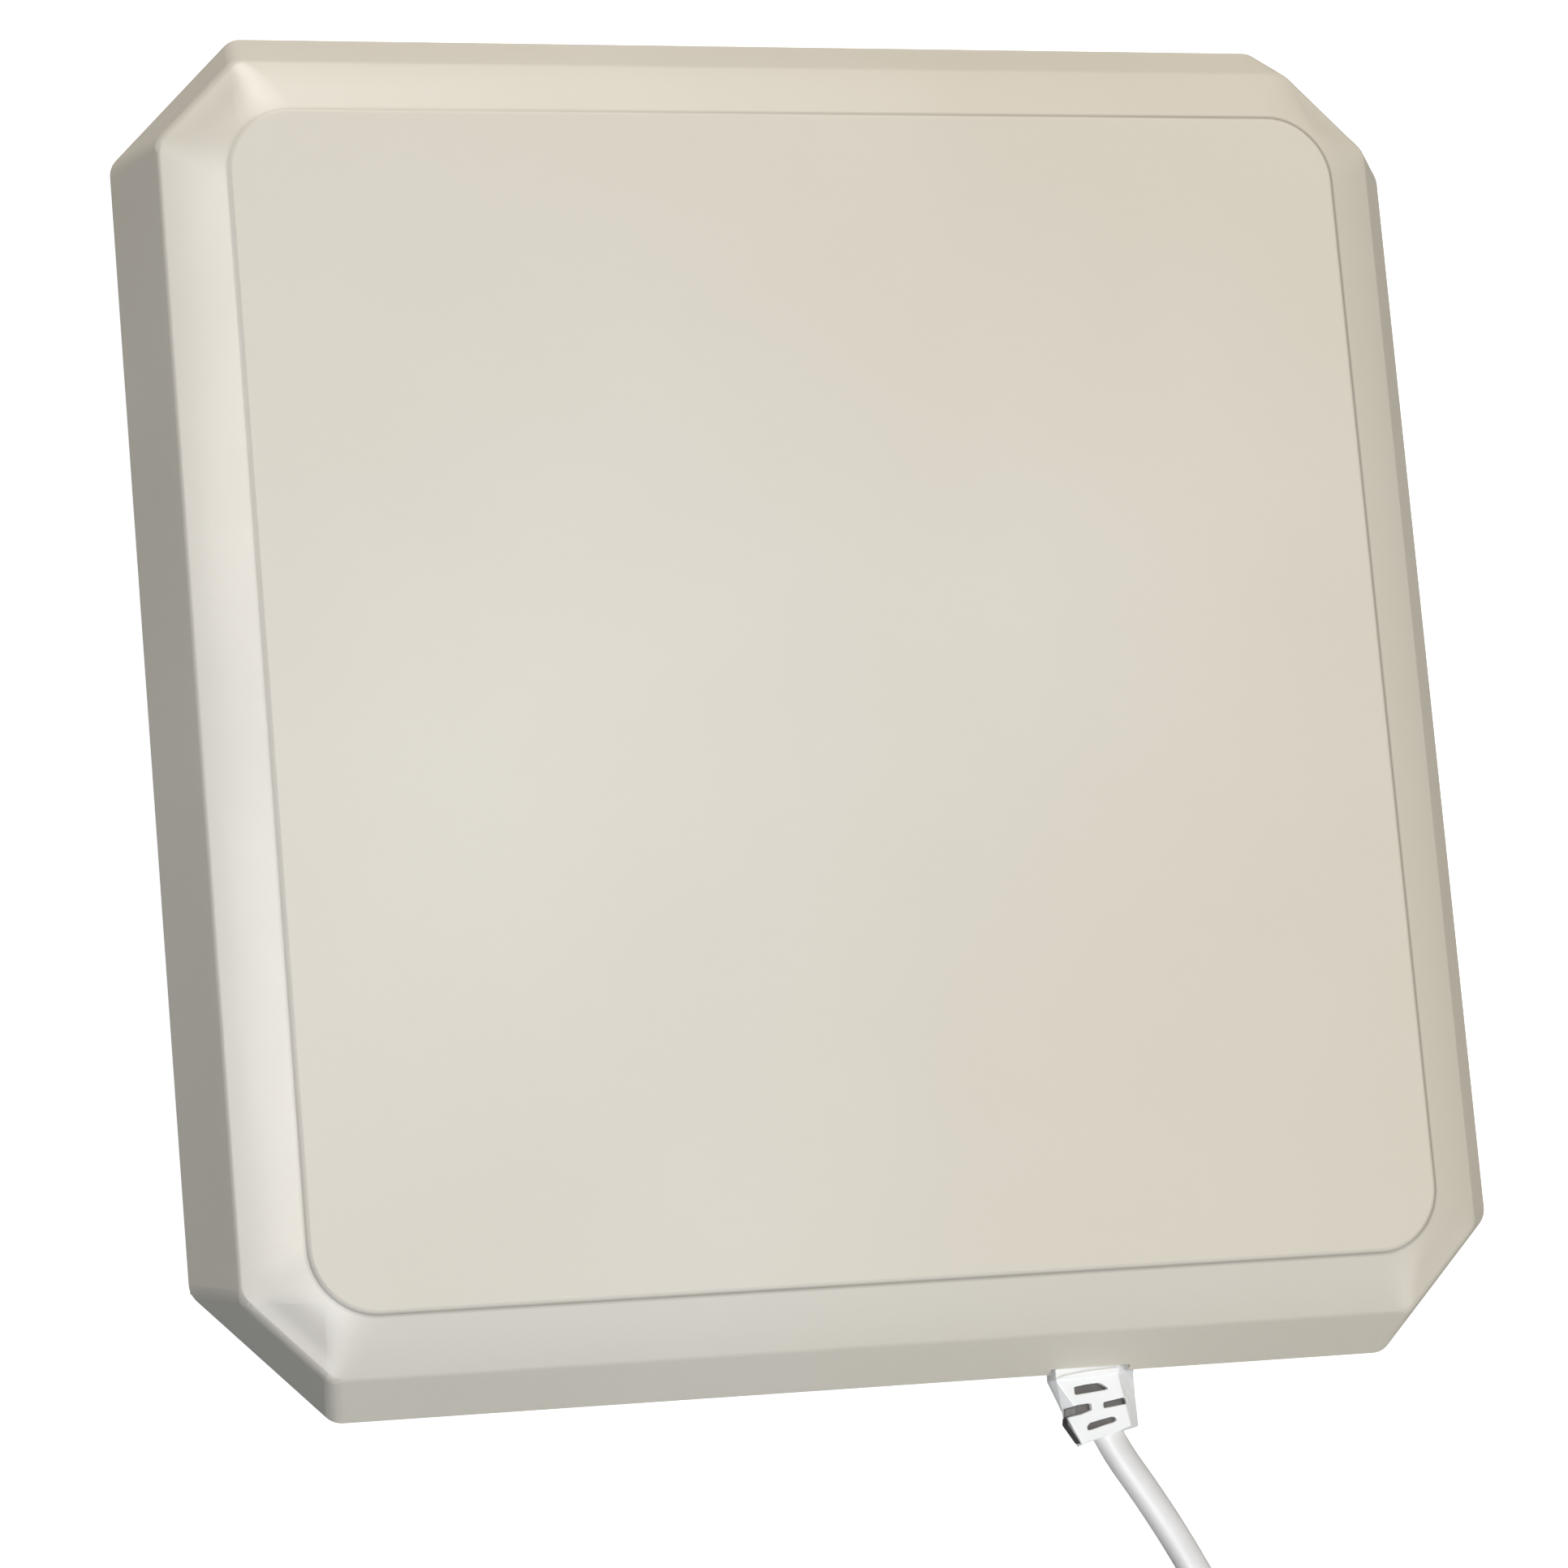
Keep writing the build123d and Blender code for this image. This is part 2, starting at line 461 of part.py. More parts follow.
with BuildPart() as feed_tracks:
    with BuildSketch(Plane.XY.offset(BOARD_TOP)):
        for track in TRACKS:
            for (x0, y0), (x1, y1) in zip(track, track[1:]):
                with Locations(((x0 + x1) / 2, (y0 + y1) / 2)):
                    Rectangle(abs(x1 - x0) + TRACK_W, abs(y1 - y0) + TRACK_W)
        with Locations(*PROBES):
            Circle(PAD_R)
            Circle(PROBE_R + SCREW_GAP, mode=Mode.SUBTRACT)
    extrude(amount=TRACK_T)

with BuildPart() as load_resistor:
    with Locations((RESISTOR_X, RING_LOW, TRACK_TOP)):
        Box(*RESISTOR, align=BASE)

with BuildPart() as board_screws:
    pan_screws(BOARD_SCREWS, BOARD_TOP, 1, SMALL_HEAD, SMALL_SHANK_R, BOARD_SHANK)

with BuildPart() as cable_core:
    with Locations(Location((CORE_X, CORE_Y, CORD_Z), (-90, 0, 0))):
        Cylinder(CORE_R, CORE_LEN, align=BASE)

with BuildPart() as cable_conductor:
    with Locations(Location((CORE_X, CORE_Y + CORE_LEN, CORD_Z), (-90, 0, 0))):
        Cylinder(CONDUCTOR_R, CONDUCTOR_LEN, align=BASE)

with BuildPart() as solder_joints:
    for z in (TRACK_TOP, PATCH_TOP):
        with place(PROBES, z):
            Cone(*SOLDER_CONE, align=BASE)
            Cylinder(PROBE_R + SCREW_GAP, 3, mode=Mode.SUBTRACT)
    with Locations((CORE_X, SOLDER_Y, TRACK_TOP)):
        Box(*SOLDER_PAD, CORD_Z - TRACK_TOP - CONDUCTOR_R - 0.02, align=BASE)

with BuildPart() as cable_clamp:
    with BuildSketch(Plane.XZ.offset(-CLAMP_Y)):
        bore = CORD_R + SCREW_GAP
        foot_w = CLAMP_PITCH + 2 * SMALL_BOSS_R
        with Locations((CORD_X, CORD_Z)):
            Circle(bore + CLAMP_T)
        with Locations((CORD_X, CLAMP_Z)):
            Rectangle(foot_w, CLAMP_T, align=(Align.CENTER, Align.MIN))
            Rectangle(foot_w, CORD_D, align=(Align.CENTER, Align.MAX), mode=Mode.SUBTRACT)
            Rectangle(2 * bore, CORD_Z - CLAMP_Z, align=(Align.CENTER, Align.MIN), mode=Mode.SUBTRACT)
        with Locations((CORD_X, CORD_Z)):
            Circle(bore, mode=Mode.SUBTRACT)
    extrude(amount=CLAMP_W / 2, both=True)
    with place(CLAMP_SCREWS, CLAMP_Z + CLAMP_T):
        Hole(SMALL_SHANK_R + 0.1, CLAMP_T)

with BuildPart() as clamp_screws:
    pan_screws(CLAMP_SCREWS, CLAMP_Z + CLAMP_T, 1, SMALL_HEAD, SMALL_SHANK_R, CLAMP_SHANK)

# ---------------------------------------------------------------- stored coil and its tie
COIL_H = 2 * CORD_D
RING_IN, RING_OUT = COIL_INNER - CORD_R, COIL_OUTER + CORD_R
COIL_PLANE = Plane(origin=(COIL_X, COIL_Y, 0), x_dir=(1, 0, 0), z_dir=(0, -1, 0))

with BuildPart() as coil_tie:
    with BuildSketch(COIL_PLANE):
        with Locations((-(RING_IN + RING_OUT) / 2, (COIL_H + TIE_T) / 2)):
            Rectangle(RING_OUT - RING_IN + 2 * TIE_T, COIL_H + TIE_T)
        with Locations((-(RING_IN + RING_OUT) / 2, (COIL_H + TIE_T) / 2)):
            Rectangle(RING_OUT - RING_IN, COIL_H - TIE_T, mode=Mode.SUBTRACT)
    extrude(amount=TIE_W / 2, both=True)
    with Locations((COIL_X - RING_OUT + TIE_HEAD_IN, COIL_Y, COIL_H + TIE_T)):
        Box(*TIE_HEAD, align=BASE)

with BuildPart() as lead_coil:
    with BuildSketch(COIL_PLANE):
        with Locations(((RING_IN + RING_OUT) / 2, COIL_H / 2)):
            RectangleRounded(RING_OUT - RING_IN, COIL_H, CORD_R)
    revolve(axis=Axis((COIL_X, COIL_Y, 0), (0, 0, 1)))
    add(coil_tie.part, mode=Mode.SUBTRACT)

# ---------------------------------------------------------------- coaxial plug
PLUG = Plane(origin=(PLUG_X, PLUG_Y, PLUG_Z), x_dir=(0, 1, 0), z_dir=(-1, 0, 0))
# Distances along the plug are from the end of the lead.
FERRULE_R, FERRULE_START, FERRULE_END = 3.75, -8.0, 4.0
SLEEVE_R, SLEEVE_START, SLEEVE_END = 4.3, -9.4, 2.6
HEX_R, HEX_START, HEX_END = 5.2, 4.0, 8.0
BARREL_R, GROOVE_R, BODY_BORE_R, BODY_BORE_START, BODY_END = 4.0, 3.6, 2.4, 6.0, 20.0
RING_R, RING_START, RING_T, RING_SPLIT = 4.9, 11.25, 1.0, 1.5
SEAL_R, SEAL_START, SEAL_END = 5.25, 12.6, 13.8
CORE_START, INSULATOR_END, PIN_R, PIN_TIP_R, PIN_NECK, PIN_TIP = 6.1, 17.0, 0.75, 0.3, 18.5, 1.2
NUT_WALL_END, NUT_BORE_R, NUT_CHAMFER = 11.0, 5.5, 0.6
KNURLS, KNURL_W, KNURL_DEEP, KNURL_IN, KNURL_END = 36, 0.6, 0.2, 2.0, 3.0


def tube(outer, inner, start, end):
    """A round collar along the plug's axis."""
    with Locations((0, 0, start)):
        Cylinder(outer, end - start, align=BASE)
        Cylinder(inner, end - start, align=BASE, mode=Mode.SUBTRACT)


with BuildPart(PLUG) as crimp_ferrule:
    tube(FERRULE_R, CORD_R + SCREW_GAP, FERRULE_START, FERRULE_END)

with BuildPart(PLUG) as lead_sleeve:
    tube(SLEEVE_R, FERRULE_R + SCREW_GAP, FERRULE_START, SLEEVE_END)
    with Locations((0, 0, SLEEVE_START)):
        Cylinder(SLEEVE_R, FERRULE_START - SLEEVE_START, align=BASE)
        Cylinder(CORD_R + SCREW_GAP, FERRULE_START - SLEEVE_START, align=BASE, mode=Mode.SUBTRACT)

with BuildPart(PLUG) as connector_body:
    Cylinder(CORD_R, HEX_START + 0.5, align=BASE)
    with BuildSketch(PLUG.offset(HEX_START)):
        RegularPolygon(HEX_R, 6)
    extrude(amount=HEX_END - HEX_START)
    with Locations((0, 0, HEX_END)):
        Cylinder(BARREL_R, BODY_END - HEX_END, align=BASE)
    with Locations((0, 0, RING_START - SCREW_GAP)):
        Cylinder(BARREL_R + 1, RING_T + 2 * SCREW_GAP, align=BASE, mode=Mode.SUBTRACT)
        Cylinder(GROOVE_R, RING_T + 2 * SCREW_GAP, align=BASE)
    with Locations((0, 0, BODY_BORE_START)):
        Cylinder(BODY_BORE_R, BODY_END - BODY_BORE_START, align=BASE, mode=Mode.SUBTRACT)

with BuildPart(PLUG) as retaining_ring:
    tube(RING_R, GROOVE_R + SCREW_GAP, RING_START, RING_START + RING_T)
    with Locations((0, BARREL_R, RING_START)):
        Box(RING_SPLIT, BARREL_R, RING_T, align=BASE, mode=Mode.SUBTRACT)

with BuildPart(PLUG) as connector_seal:
    tube(SEAL_R, BARREL_R + 0.1, SEAL_START, SEAL_END)

with BuildPart(PLUG) as connector_insulator:
    tube(BODY_BORE_R - SCREW_GAP, PIN_R + SCREW_GAP, CORE_START, INSULATOR_END)

with BuildPart(PLUG) as centre_pin:
    with Locations((0, 0, CORE_START)):
        Cylinder(PIN_R, PIN_NECK - CORE_START, align=BASE)
    with Locations((0, 0, PIN_NECK)):
        Cone(PIN_R, PIN_TIP_R, PIN_TIP, align=BASE)

with BuildPart(PLUG) as coupling_nut:
    with Locations((0, 0, NUT_START)):
        Cylinder(NUT_R, NUT_END - NUT_START, align=BASE)
    chamfer(coupling_nut.edges(), NUT_CHAMFER)
    with Locations((0, 0, NUT_START)):
        Cylinder(BARREL_R + 0.2, NUT_END - NUT_START, align=BASE, mode=Mode.SUBTRACT)
    with Locations((0, 0, NUT_WALL_END)):
        Cylinder(NUT_BORE_R, NUT_END - NUT_WALL_END, align=BASE, mode=Mode.SUBTRACT)
    with Locations((0, 0, NUT_START + KNURL_IN)):
        with PolarLocations(NUT_R - KNURL_DEEP + 0.5, KNURLS):
            Box(1, KNURL_W, NUT_END - NUT_START - KNURL_IN - KNURL_END, align=BASE, mode=Mode.SUBTRACT)

# ---------------------------------------------------------------- files
PIECES = {
    "front_cover": front_cover,
    "rear_tray": rear_tray,
    "cover_seal": cover_seal,
    "cover_screws": cover_screws,
    "rating_label": rating_label,
    "mounting_inserts": mounting_inserts,
    "ground_plate": ground_plate,
    "ground_plate_screws": ground_plate_screws,
    "patch_element": patch_element,
    "patch_standoffs": patch_standoffs,
    "centre_post": centre_post,
    "patch_screws": patch_screws,
    "patch_nuts": patch_nuts,
    "feed_probes": feed_probes,
    "probe_bushes": probe_bushes,
    "feed_board": feed_board,
    "feed_tracks": feed_tracks,
    "load_resistor": load_resistor,
    "board_screws": board_screws,
    "solder_joints": solder_joints,
    "feed_cable": feed_cable,
    "cable_core": cable_core,
    "cable_conductor": cable_conductor,
    "cable_clamp": cable_clamp,
    "clamp_screws": clamp_screws,
    "strain_relief": strain_relief,
    "lead": lead,
    "lead_coil": lead_coil,
    "lead_end": lead_end,
    "coil_tie": coil_tie,
    "crimp_ferrule": crimp_ferrule,
    "lead_sleeve": lead_sleeve,
    "connector_body": connector_body,
    "connector_insulator": connector_insulator,
    "centre_pin": centre_pin,
    "retaining_ring": retaining_ring,
    "connector_seal": connector_seal,
    "coupling_nut": coupling_nut,
}
for piece_name, piece in PIECES.items():
    save(piece, piece_name)

for tube_name, route, path, piece in (
    ("feed_cable", FEED_ROUTE, feed_path, feed_cable),
    ("lead", LEAD_ROUTE, lead_path, lead),
    ("lead_end", END_ROUTE, end_path, lead_end),
):
    ratio = piece.part.volume / (pi * CORD_R**2 * path.length)
    print(tube_name, "length", round(path.length, 1), "volume over section x length", round(ratio, 4))
    print("  arc radii", [round(r, 1) for r in arc_radii(route)])
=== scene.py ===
# Looks for the flat panel of a retail security gate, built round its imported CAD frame.
# Metres, in the CAD's own frame: +Z out of the face, the lead leaves the -Y wall.

import math

import bmesh
import bpy
from mathutils import Matrix, Vector


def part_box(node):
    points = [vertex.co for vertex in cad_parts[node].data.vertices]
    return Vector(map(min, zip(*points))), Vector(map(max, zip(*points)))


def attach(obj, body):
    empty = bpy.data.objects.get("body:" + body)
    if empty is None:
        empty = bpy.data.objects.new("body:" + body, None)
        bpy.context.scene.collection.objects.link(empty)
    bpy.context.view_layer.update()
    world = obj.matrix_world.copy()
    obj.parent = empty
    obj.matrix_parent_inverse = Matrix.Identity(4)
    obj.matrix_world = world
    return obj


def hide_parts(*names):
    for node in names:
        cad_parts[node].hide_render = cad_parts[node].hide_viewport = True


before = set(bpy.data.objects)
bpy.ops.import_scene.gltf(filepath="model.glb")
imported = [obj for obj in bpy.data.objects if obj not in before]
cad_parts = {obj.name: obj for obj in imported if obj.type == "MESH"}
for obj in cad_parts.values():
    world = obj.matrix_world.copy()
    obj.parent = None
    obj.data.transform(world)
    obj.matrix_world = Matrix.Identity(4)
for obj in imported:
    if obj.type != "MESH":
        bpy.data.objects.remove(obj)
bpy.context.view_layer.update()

MM = 0.001
PANEL_BODY = "panel"


def mm(point):
    """A point in millimetres as a vector in metres."""
    return Vector(point) * MM


# ---------------------------------------------------------------- camera
EYE = mm((-390.9, -186.8, 1054.2))
AIM = mm((-7.53, -15.03, 11.0))
ROLL = math.radians(5.0)
SENSOR, LENS = 36.0, 136.02


def add_camera():
    """The camera, looking down on to the face from its lower left."""
    back = (EYE - AIM).normalized()
    right = Vector((0, 1, 0)).cross(back).normalized()
    up = back.cross(right)
    data = bpy.data.cameras.new("camera")
    data.sensor_width, data.lens = SENSOR, LENS
    camera = bpy.data.objects.new("camera", data)
    bpy.context.scene.collection.objects.link(camera)
    turned = Matrix((right, up, back)).transposed().to_4x4() @ Matrix.Rotation(-ROLL, 4, "Z")
    camera.matrix_world = Matrix.Translation(EYE) @ turned
    bpy.context.scene.camera = camera


# ---------------------------------------------------------------- the lead
CORD_D = 5.9  # millimetres, as are all the route's points
LEAD_ROUTE = [
    (44.4, -123.4, 7.6),
    (44.4, -130.0, 7.6),
    (45.8, -137.4, 7.6),
    (48.9, -144.8, 7.6),
    (54.4, -153.1, 7.3),
    (60.4, -162.3, 5.9),
    (66.3, -172.1, 3.85),
    (72.4, -183.5, 2.95),
    (77.6, -198.6, 2.95),
    (79.7, -216.5, 2.95),
    (78.7, -232.0, 2.95),
]
END_ROUTE = [
    (47.8, -264.0, 8.85),
    (32.0, -266.3, 8.85),
    (14.0, -266.2, 8.4),
    (-4.0, -264.5, 7.6),
    (-22.0, -264.5, 7.6),
]
COIL_X, COIL_Y, COIL_OUTER, COIL_INNER = 36.5, -222.0, 43.5, 25.5
COIL_TURNS = 3  # in each of the two layers
POINTS_PER_TURN = 24
TIE_ANGLE, TIE_LIFT, TIE_SPREAD = 180.0, 0.9, 26.0  # the turns ride up over the band of the tie
SPLINE_STEPS, TUBE_ROUNDNESS = 8, 7


def coil_point(angle, radius, height):
    """A control point of the coil, set out so that the spline runs at this radius."""
    out = radius / math.cos(math.pi / POINTS_PER_TURN)
    off = (angle - TIE_ANGLE + 180) % 360 - 180
    lift = TIE_LIFT * math.exp(-((off / TIE_SPREAD) ** 2))
    turn = math.radians(angle)
    return COIL_X + out * math.cos(turn), COIL_Y + out * math.sin(turn), height + lift


def coil_points():
    """Three turns inward on the floor, a climb, and three turns outward on top of them, all clockwise."""
    x, y, _ = LEAD_ROUTE[-1]
    start = math.degrees(math.atan2(y - COIL_Y, x - COIL_X))
    x, y, _ = END_ROUTE[0]
    finish = math.degrees(math.atan2(y - COIL_Y, x - COIL_X))
    climb = (start - finish) % 360
    step = 360 / POINTS_PER_TURN
    sweep = 720 * COIL_TURNS + climb
    low, high = CORD_D / 2, CORD_D * 1.5  # the centre lines of the two layers
    count = round(sweep / step)
    points = []
    for i in range(1, count):
        gone = sweep * i / count
        inward = min(1, gone / (360 * COIL_TURNS))
        outward = max(0, (gone - 360 * COIL_TURNS - climb) / (360 * COIL_TURNS))
        risen = min(1, max(0, (gone - 360 * COIL_TURNS) / climb))
        radius = COIL_OUTER - (COIL_OUTER - COIL_INNER) * (inward - outward)
        height = low + (high - low) * risen * risen * (3 - 2 * risen)
        points.append(coil_point(start - gone, radius, height))
    return points


def spline_curve(name, points):
    """One smooth open NURBS spline with these points in metres as its control points."""
    data = bpy.data.curves.new(name, "CURVE")
    data.dimensions = "3D"
    data.resolution_u = SPLINE_STEPS
    spline = data.splines.new("NURBS")
    spline.points.add(len(points) - 1)
    for slot, point in zip(spline.points, points):
        slot.co = (*point, 1)
    spline.order_u = 3
    spline.use_endpoint_u = True
    return bpy.data.objects.new(name, data)


def mesh_piece(name, mesh):
    """A smooth shaded object of a mesh."""
    piece = bpy.data.objects.new(name, mesh)
    bpy.context.scene.collection.objects.link(piece)
    for face in mesh.polygons:
        face.use_smooth = True
    return piece


def tube_along(name, curve, radius):
    """A round tube with closed ends along a spline, and the points of the spline's line."""
    line = [v.co.copy() for v in bpy.data.meshes.new_from_object(curve).vertices]
    curve.data.bevel_depth = radius
    curve.data.bevel_resolution = TUBE_ROUNDNESS
    curve.data.use_fill_caps = True
    return mesh_piece(name, bpy.data.meshes.new_from_object(curve)), line


def add_lead():
    """The whole free lead: out of the strain relief, down to the floor, round its coil and into the plug."""
    route = spline_curve("lead_route", [mm(p) for p in LEAD_ROUTE + coil_points() + END_ROUTE])
    lead, line = tube_along("signal_lead", route, CORD_D / 2 * MM)
    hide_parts("lead", "lead_coil", "lead_end")
    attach(lead, PANEL_BODY)
    return lead, line


# ---------------------------------------------------------------- solid shapes
FACES_KEPT = 0.3  # the share of a merged piece's faces that thinning leaves


def solid_mesh(name, shells):
    """One mesh of closed shells, each (rings, looped): rings of points bridged, and capped unless looped."""
    form = bmesh.new()
    for rings, looped in shells:
        rows = [[form.verts.new(point) for point in ring] for ring in rings]
        count = len(rows[0])
        pairs = list(zip(rows, rows[1:] + rows[:1] if looped else rows[1:]))
        for low, high in pairs:
            for i in range(count):
                form.faces.new((low[i], low[(i + 1) % count], high[(i + 1) % count], high[i]))
        if not looped:
            form.faces.new(reversed(rows[0]))
            form.faces.new(rows[-1])
    bmesh.ops.recalc_face_normals(form, faces=form.faces)
    mesh = bpy.data.meshes.new(name)
    form.to_mesh(mesh)
    form.free()
    return mesh


def upright(outline, low, high):
    """A closed upright shell over an outline of (x, y) points, in millimetres."""
    return [[mm((x, y, z)) for x, y in outline] for z in (low, high)], False


def box_shell(low, high):
    """A closed box shell between two corners in metres."""
    outline = [(low.x, low.y), (high.x, low.y), (high.x, high.y), (low.x, high.y)]
    return [[Vector((x, y, z)) for x, y in outline] for z in (low.z, high.z)], False


def cut_away(mesh, shells):
    """mesh less the volume of some closed shells."""
    work = bpy.data.objects.new("work", mesh)
    tool = bpy.data.objects.new("tool", solid_mesh("tool", shells))
    for piece in (work, tool):
        bpy.context.scene.collection.objects.link(piece)
    cut = work.modifiers.new("cut", "BOOLEAN")
    cut.operation, cut.solver, cut.object = "DIFFERENCE", "EXACT", tool
    cut.use_self = True
    done = bpy.data.meshes.new_from_object(work.evaluated_get(bpy.context.evaluated_depsgraph_get()))
    bpy.data.objects.remove(work)
    bpy.data.objects.remove(tool)
    return done


def moulded(name, mesh, voxel, rounds):
    """A piece whose overlapping shells are merged and whose edges are rounded as a mould leaves them."""
    work = bpy.data.objects.new("work", mesh)
    bpy.context.scene.collection.objects.link(work)
    merge = work.modifiers.new("merge", "REMESH")
    merge.mode, merge.voxel_size = "VOXEL", voxel * MM
    soften = work.modifiers.new("soften", "SMOOTH")
    soften.iterations = rounds
    thin = work.modifiers.new("thin", "DECIMATE")
    thin.ratio = FACES_KEPT
    done = bpy.data.meshes.new_from_object(work.evaluated_get(bpy.context.evaluated_depsgraph_get()))
    bpy.data.objects.remove(work)
    done.name = name
    return mesh_piece(name, done)


# ---------------------------------------------------------------- strain relief
RELIEF_FLANGE_Z, RELIEF_FLANGE_Y = 11.1, -122.3  # the flange's top, and its side next to the tray's wall
RELIEF_X = 44.4  # the relief's sections turn about the lead's line at the wall
# Sections of the white shell: y on that line, turn from -Y towards +X in degrees, and the outline as (x, z)
# from the bottom left corner clockwise
RELIEF_RINGS = [
    (-122.2, 0, [(38.3, 3.7), (35.5, 8.1), (35.6, 9.5), (35.9, 12.1),
                 (49.8, 12.1), (51.3, 10.6), (54.5, 8.1), (50.9, 3.7)]),
    (-130.0, 0, [(38.7, 3.7), (36.0, 8.2), (36.0, 9.5), (36.3, 12.2),
                 (49.3, 12.2), (51.2, 10.3), (54.2, 7.8), (50.5, 3.7)]),
    (-131.0, 1, [(39.0, 3.7), (35.9, 8.3), (35.8, 9.9), (36.2, 12.2),
                 (49.0, 12.2), (51.1, 10.1), (54.2, 7.3), (50.8, 3.7)]),
    (-135.8, 6, [(41.0, 3.8), (38.1, 8.3), (37.9, 9.4), (39.6, 12.0),
                 (49.8, 12.1), (51.6, 9.9), (54.3, 7.0), (51.4, 3.8)]),
    (-137.2, 9, [(40.6, 3.9), (38.2, 8.2), (37.9, 9.8), (38.1, 11.8),
                 (50.1, 11.8), (51.9, 9.8), (54.3, 7.0), (51.5, 3.9)]),
    (-142.3, 15, [(43.6, 4.0), (40.8, 8.2), (40.5, 10.0), (40.6, 11.6),
                  (50.9, 11.6), (52.4, 9.6), (54.4, 7.0), (52.0, 4.0)]),
]
# The tail face leans out from the upper height down to the lower one, and back in below it
TAIL_LEAN, TAIL_TOP_Z, TAIL_LEAN_Z = 0.2, 12.0, 7.0
# What is cut from the shell and set on it, as (x, y) outlines seen from above
FIRST_WINDOW = [
    (39.8, -132.6), (42.4, -132.25), (45.0, -132.1), (46.0, -132.6),
    (46.9, -133.4), (44.7, -133.65), (39.8, -134.1),
]
SECOND_WINDOW = [
    (41.9, -140.9), (41.9, -140.2), (42.5, -139.55), (44.6, -139.1), (47.4, -138.6),
    (48.0, -138.8), (48.1, -139.3), (47.6, -139.65), (45.1, -140.2), (43.0, -140.75),
]
LEFT_NOTCH = [
    (43.1, -135.8), (43.1, -137.1), (41.0, -137.75), (38.9, -138.05),
    (34.0, -139.2), (34.0, -137.2), (38.4, -136.5), (40.3, -136.0),
]
RIGHT_NOTCH = [(45.5, -135.85), (50.4, -135.1), (50.6, -136.4), (45.6, -136.95)]
SIDE_CUT = [(38.8, -136.8), (42.0, -146.0), (34.0, -146.0), (34.0, -137.6)]
LIP = [
    (36.1, -131.0), (37.6, -130.35), (42.6, -129.7), (48.9, -129.4), (49.1, -129.7),
    (49.0, -130.2), (47.1, -130.7), (44.8, -131.0), (41.0, -131.1),
]
WINDOW_DEPTH_Z, NOTCH_DEPTH_Z, CUT_TOP_Z, PLATE_Z = 9.6, 8.9, 20.0, 10.9
LIP_FOOT_Z, LIP_TOP_Z = 11.9, 12.5
RELIEF_VOXEL, SHELL_ROUNDS, CORE_ROUNDS = 0.14, 5, 8
# The dark core's shells, each of (y, turn, outline) sections: under the windows and under the notches, where
# its dark colour is painted shade in them, and behind the plate, where it is a dark inner body
CORE_AND_SHADE_SHELLS = [
    [(-131.6, 1, [(38.8, 8.2), (38.8, 10.8), (47.8, 10.8), (47.8, 8.2)]),
     (-135.0, 5, [(39.4, 8.2), (39.4, 10.8), (48.6, 10.8), (48.6, 8.2)])],
    [(-134.9, 5, [(39.8, 7.6), (38.6, 9.3), (40.6, 10.6), (49.6, 10.7), (50.9, 9.8), (50.8, 7.6)]),
     (-138.2, 9, [(39.2, 7.6), (38.1, 9.3), (40.0, 10.6), (50.0, 10.7), (51.2, 9.8), (51.0, 7.6)])],
    [(-137.3, 9, [(41.6, 4.6), (38.9, 7.0), (38.0, 9.2), (38.3, 11.1),
                  (39.8, 10.8), (48.8, 10.7), (48.8, 6.0)]),
     (-138.4, 10, [(41.6, 4.4), (38.8, 7.0), (37.8, 9.2), (38.2, 11.1),
                   (40.2, 10.8), (49.2, 10.7), (49.2, 6.0)]),
     (-142.2, 15, [(44.0, 4.4), (41.2, 7.0), (40.2, 9.2), (40.6, 11.0),
                   (42.6, 10.7), (50.0, 10.6), (50.0, 6.0)])],
]


def turned_ring(y, turn, outline, lean=0.0):
    """A section of the relief as points in metres, its outline leaning out with depth by the share lean."""
    slope = math.tan(math.radians(turn))
    ring = []
    for x, z in outline:
        out = lean * (min(TAIL_TOP_Z - z, TAIL_TOP_Z - TAIL_LEAN_Z) - max(0, TAIL_LEAN_Z - z))
        ring.append(mm((x, y + (x - RELIEF_X) * slope - out, z)))
    return ring


def add_relief():
    """The moulded relief: a white shell with slots and notches, over a dark core that is painted shade in
    them.
    """
    rings = [turned_ring(*ring) for ring in RELIEF_RINGS[:-1]]
    rings.append(turned_ring(*RELIEF_RINGS[-1], lean=TAIL_LEAN))
    shell = cut_away(solid_mesh("relief", [(rings, False)]), [
        upright(FIRST_WINDOW, WINDOW_DEPTH_Z, CUT_TOP_Z),
        upright(SECOND_WINDOW, WINDOW_DEPTH_Z, CUT_TOP_Z),
        upright(LEFT_NOTCH, NOTCH_DEPTH_Z, CUT_TOP_Z),
        upright(RIGHT_NOTCH, NOTCH_DEPTH_Z, CUT_TOP_Z),
    ])
    shell = cut_away(shell, [upright(SIDE_CUT, 0.0, PLATE_Z)])
    form = bmesh.new()
    form.from_mesh(shell)
    flange_low, flange_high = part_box("strain_relief")
    flange_low = Vector((flange_low.x, mm((0, RELIEF_FLANGE_Y, 0)).y, flange_low.z))
    flange_high.z = mm((0, 0, RELIEF_FLANGE_Z)).z
    extras = [upright(LIP, LIP_FOOT_Z, LIP_TOP_Z), box_shell(flange_low, flange_high)]
    form.from_mesh(solid_mesh("extras", extras))
    form.to_mesh(shell)
    form.free()
    relief = moulded("strain_relief_shell", shell, RELIEF_VOXEL, SHELL_ROUNDS)
    core_and_shade = [([turned_ring(*ring) for ring in rings], False) for rings in CORE_AND_SHADE_SHELLS]
    core_and_shade = moulded("strain_relief_core_and_shade", solid_mesh("core_and_shade", core_and_shade), RELIEF_VOXEL, CORE_ROUNDS)
    # the core's dark finish is painted shade in the slots and notches, and a dark inner body at the side
    finishes = (relief, "relief_plastic", "relief_plastic"), (core_and_shade, "seal_rubber", "relief_core_and_shade")
    for piece, slot, finish in finishes:
        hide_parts("strain_relief")
        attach(piece, PANEL_BODY)
        dress(piece, finish)
    return relief, core_and_shade


